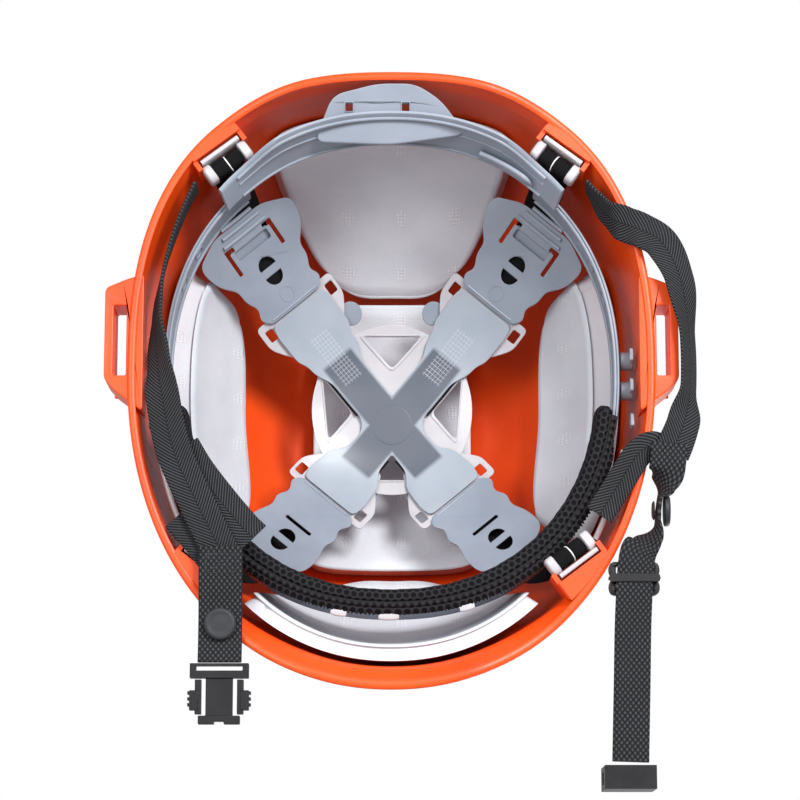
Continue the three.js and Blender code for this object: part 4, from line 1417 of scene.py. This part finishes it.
def domed_disc(name, centre, axis, radius, thick, body, node):
    """A snap cap: rounded rim, shallow dish and a low raised ring on its face along axis."""
    low, high, around = -thick / 2, thick / 2, 48
    rings = [(radius - 0.4, low), (radius, low + 0.4), (radius, high - 0.9), (radius - 0.3, high - 0.35),
             (radius - 1.0, high), (radius - 1.6, high), (radius - 2.0, high - 0.22),
             (radius * 0.4, high - 0.1)]
    helper = Vector((0, 0, 1)) if abs(axis.z) < 0.9 else Vector((1, 0, 0))
    u = axis.cross(helper).normalized()
    v = axis.cross(u).normalized()
    vertices = [centre + axis * low * MM]
    for reach, level in rings:
        for turn in turns_of(around):
            spoke = u * math.cos(turn) + v * math.sin(turn)
            vertices.append(centre + (spoke * reach + axis * level) * MM)
    vertices.append(centre + axis * (high - 0.05) * MM)
    make(name, vertices, turned_faces(len(rings), around), CAP, body, node, sharp=40)


LEFT_REAR_LEG = [
    (83, 80, 13, 90), (90, 64, 13, 88), (96, 44, 12.5, 84), (98.5, 24, 11, 74), (97.5, 5, 8.5, 50),
    (95, -14, 6, 15), (90, -36, 5, 8), (80, -58, 4.2, 5), (69, -80, 3.4, 0),
]
LEFT_FRONT_LEG = [(88, -62, 8.4, 0), (79, -72, 7, 0), (72, -81, 5.6, 0)]
LEFT_FOLD = [(87, -33, 9.8, 0), (81, -43, 8.6, 0), (72, -55, 6.6, 0), (62, -67, 5.6, 0), (57, -72, 5.2, 0)]
LEFT_LOWER = [
    (70, -76, 1.4, 0), (70, -88, 1.8, 0), (70, -99, 3.8, 0), (70, -108, 4.3, 0), (70, -116, 3.9, 0),
    (70, -123.4, 2.4, 0),
]
RIGHT_REAR_LEG = [
    (-83, 80, 13, 90), (-91, 68, 11, 70), (-98, 62, 6.6, 25), (-106, 58, 4, 0), (-114, 52, 3.6, -5),
    (-121, 37, 5.5, -30), (-124, 14, 8.4, -62), (-124, -8, 8.4, -62), (-121.5, -23, 5.8, -20),
    (-116, -37, 3.4, 0),
]
RIGHT_FRONT_LEG = [
    (-86, -62, 7, 0), (-95, -48, 6.4, 0), (-102, -37, 6, 0), (-108, -33, 5.8, 0), (-112, -35, 5.6, 0),
]
RIGHT_LOWER = [
    (-115, -33, 1.4, 0), (-114, -43, 1.8, 0), (-112.6, -49, 6, 50), (-111.4, -54, 8.4, 90),
    (-110.5, -60, 8.4, 90), (-109.8, -66, 8.4, 90), (-105.5, -73, 5.4, 45), (-101, -80, 1.6, 0),
    (-99, -104, 1.3, 0), (-98, -134, 1.3, 0), (-97, -164, 1.3, 0),
]


def build_left_strap():
    strap("left_rear_webbing", LEFT_REAR_LEG, WEB, HERRINGBONE, "left_yoke", "left_yoke_rear_leg")
    strap("left_front_webbing", LEFT_FRONT_LEG, WEB, HERRINGBONE, "left_yoke", "left_yoke_front_leg")
    strap("left_fold_webbing", LEFT_FOLD, WEB, HERRINGBONE, "left_yoke", "left_yoke_fold")
    strap("left_lower_webbing", LEFT_LOWER, LOWER_WEB, BASKET, "left_lower", "left_lower_strap", 12)
    down = Vector((0, 0, -1))
    domed_disc("left_cap", point(70, -107.8, 1.6), down, *SNAP_CAP, "left_lower", "left_snap_cap")
    domed_disc("left_stud", point(70, -107.8, 5.9), -down, *SNAP_STUD, "left_lower", "left_snap_stud")
    stitch_box("left_lower_stitch", 70, -83, 0.75, 12, 8, "left_lower")


def build_right_strap():
    strap("right_rear_webbing", RIGHT_REAR_LEG, WEB, HERRINGBONE, "right_yoke", "right_yoke_rear_leg")
    strap("right_front_webbing", RIGHT_FRONT_LEG, WEB - 3, HERRINGBONE, "right_yoke",
          "right_yoke_front_leg")
    strap("right_lower_webbing", RIGHT_LOWER, WEB, BASKET, "right_lower", "right_lower_strap", 12)
    out = Vector((-1, 0, 0))
    domed_disc("right_cap", point(-114, -60, 8.4), out, *SNAP_CAP, "right_lower", "right_snap_cap")
    domed_disc("right_stud", point(-108.4, -60, 8.4), -out, *SNAP_STUD, "right_lower", "right_snap_stud")


def build_buckles():
    dress("buckle_plug", "plug", 0.4)
    dress("plug_arm_left", "arm_left", 0.3)
    dress("plug_arm_right", "arm_right", 0.3)
    dress("buckle_socket", "socket", 0.5)
    build_ladder_lock()


def build_ladder_lock():
    """The strap adjuster: a frame with four round lobes, and a middle bar on two posts."""
    edge = []
    for side in (1, -1):
        for t in shares(24):
            y = side * mix(-7, 7, t)
            lobe = math.sqrt(max(0.0, 1 - ((abs(y) - 3.6) / 3.4) ** 2))
            edge.append((side * (8.3 + 2.2 * lobe), y))

    def placed(x, y, z):
        return point(LOCK_PLACE[0] + x, LOCK_PLACE[1] + y, LOCK_PLACE[2] + z)

    holes = [filleted(box_of(0, y, 7.4, 1.5), 0.8) for y in (-3.4, 3.4)]
    bar = filleted(box_of(0, 0, 10.4, 1.7), 1.2)
    plate("lock_frame", edge, holes, 3.3, 0, placed, BLACK, "lock", "ladder_lock", bevel=0.9, cell=WHOLE)
    plate("lock_bar", bar, [], 0.6, -4.38, placed, BLACK, "lock", bevel=0.2, cell=WHOLE)
    for side in (-1, 1):
        plate("lock_post", ring_of(9.9 * side, 0, 0.75, 16), [], 4, -2.2, placed, BLACK, "lock", bevel=0.2,
              cell=WHOLE)


# ------------------------------------------------------------------ floor, light and camera


def pale_floor():
    """A pale floor that can't be seen from below."""
    n = Nodes("pale_floor")
    n.feed(n.shader.inputs["Base Color"], (0.9, 0.9, 0.9, 1))
    n.feed(n.shader.inputs["Roughness"], n.span(n.noise(3), 0.3, 0.7, 0.9, 0.95))
    below = n.add("ShaderNodeNewGeometry").outputs["Backfacing"]
    clear = n.add("ShaderNodeBsdfTransparent").outputs["BSDF"]
    both = n.add("ShaderNodeMixShader", {"Fac": below, 1: n.shader.outputs["BSDF"], 2: clear})
    n.feed(n.tree.nodes["Material Output"].inputs["Surface"], both.outputs["Shader"])
    return n.material


def build_floor():
    mesh = bpy.data.meshes.new("floor")
    reach = 3.0
    level = (RIM_Z - 0.3) * MM
    corners = [(-reach, -reach, level), (reach, -reach, level), (reach, reach, level), (-reach, reach, level)]
    mesh.from_pydata(corners, [], [(0, 1, 2, 3)])
    floor = bpy.data.objects.new("floor", mesh)
    bpy.context.scene.collection.objects.link(floor)
    mesh.materials.append(pale_floor())
    floor.visible_shadow = False
    floor.visible_diffuse = False
    floor.visible_glossy = False


def area_light(name, place, aim, size, power):
    lamp = bpy.data.lights.new(name, "AREA")
    lamp.shape = "DISK"
    lamp.size = size
    lamp.energy = power
    holder = bpy.data.objects.new(name, lamp)
    bpy.context.scene.collection.objects.link(holder)
    holder.location = place
    holder.rotation_euler = (Vector(aim) - Vector(place)).to_track_quat("-Z", "Y").to_euler()


def build_stage():
    build_floor()
    world = bpy.data.worlds.new("soft_white")
    world.use_nodes = True
    tree = world.node_tree
    background = tree.nodes["Background"]
    background.inputs["Color"].default_value = (1, 1, 1, 1)
    path = tree.nodes.new("ShaderNodeLightPath")
    level = tree.nodes.new("ShaderNodeMapRange")
    level.inputs["To Min"].default_value = 0.62
    level.inputs["To Max"].default_value = 1.0
    tree.links.new(path.outputs["Is Camera Ray"], level.inputs["Value"])
    tree.links.new(level.outputs["Result"], background.inputs["Strength"])
    bpy.context.scene.world = world
    bpy.context.scene.view_settings.view_transform = "Standard"
    area_light("under_key", (-0.55, 0.5, -1.25), (0, 0, -0.05), 0.45, 22)
    area_light("under_fill", (0.6, 0.2, -1.2), (0, 0, -0.05), 0.6, 8)
    area_light("over_key", (-0.8, -0.9, 1.3), (0, 0, -0.05), 1.0, 14)


def build_camera():
    tilt = math.radians(11)
    distance = 1.2
    aim = Vector((-3.6, -8, RIM_Z)) * MM
    away = Vector((0, math.sin(tilt), math.cos(tilt)))
    up = Vector((0, math.cos(tilt), -math.sin(tilt)))
    right = away.cross(up)
    camera = bpy.data.cameras.new("photographer")
    camera.lens = 130.4
    camera.sensor_width = 36
    holder = bpy.data.objects.new("photographer", camera)
    bpy.context.scene.collection.objects.link(holder)
    turn = Matrix((right, up, -away)).transposed().to_4x4()
    holder.matrix_world = Matrix.Translation(aim - away * distance) @ turn
    bpy.context.scene.camera = holder


build_shell()
build_shell_fittings()
build_foam()
build_cradle()
build_headband()
build_nape()
build_sweatband()
for corner in CORNERS:
    build_anchor(corner)
for side in (1, -1):
    build_hanger_bar(side)
build_left_strap()
build_right_strap()
build_buckles()
build_stage()
build_camera()
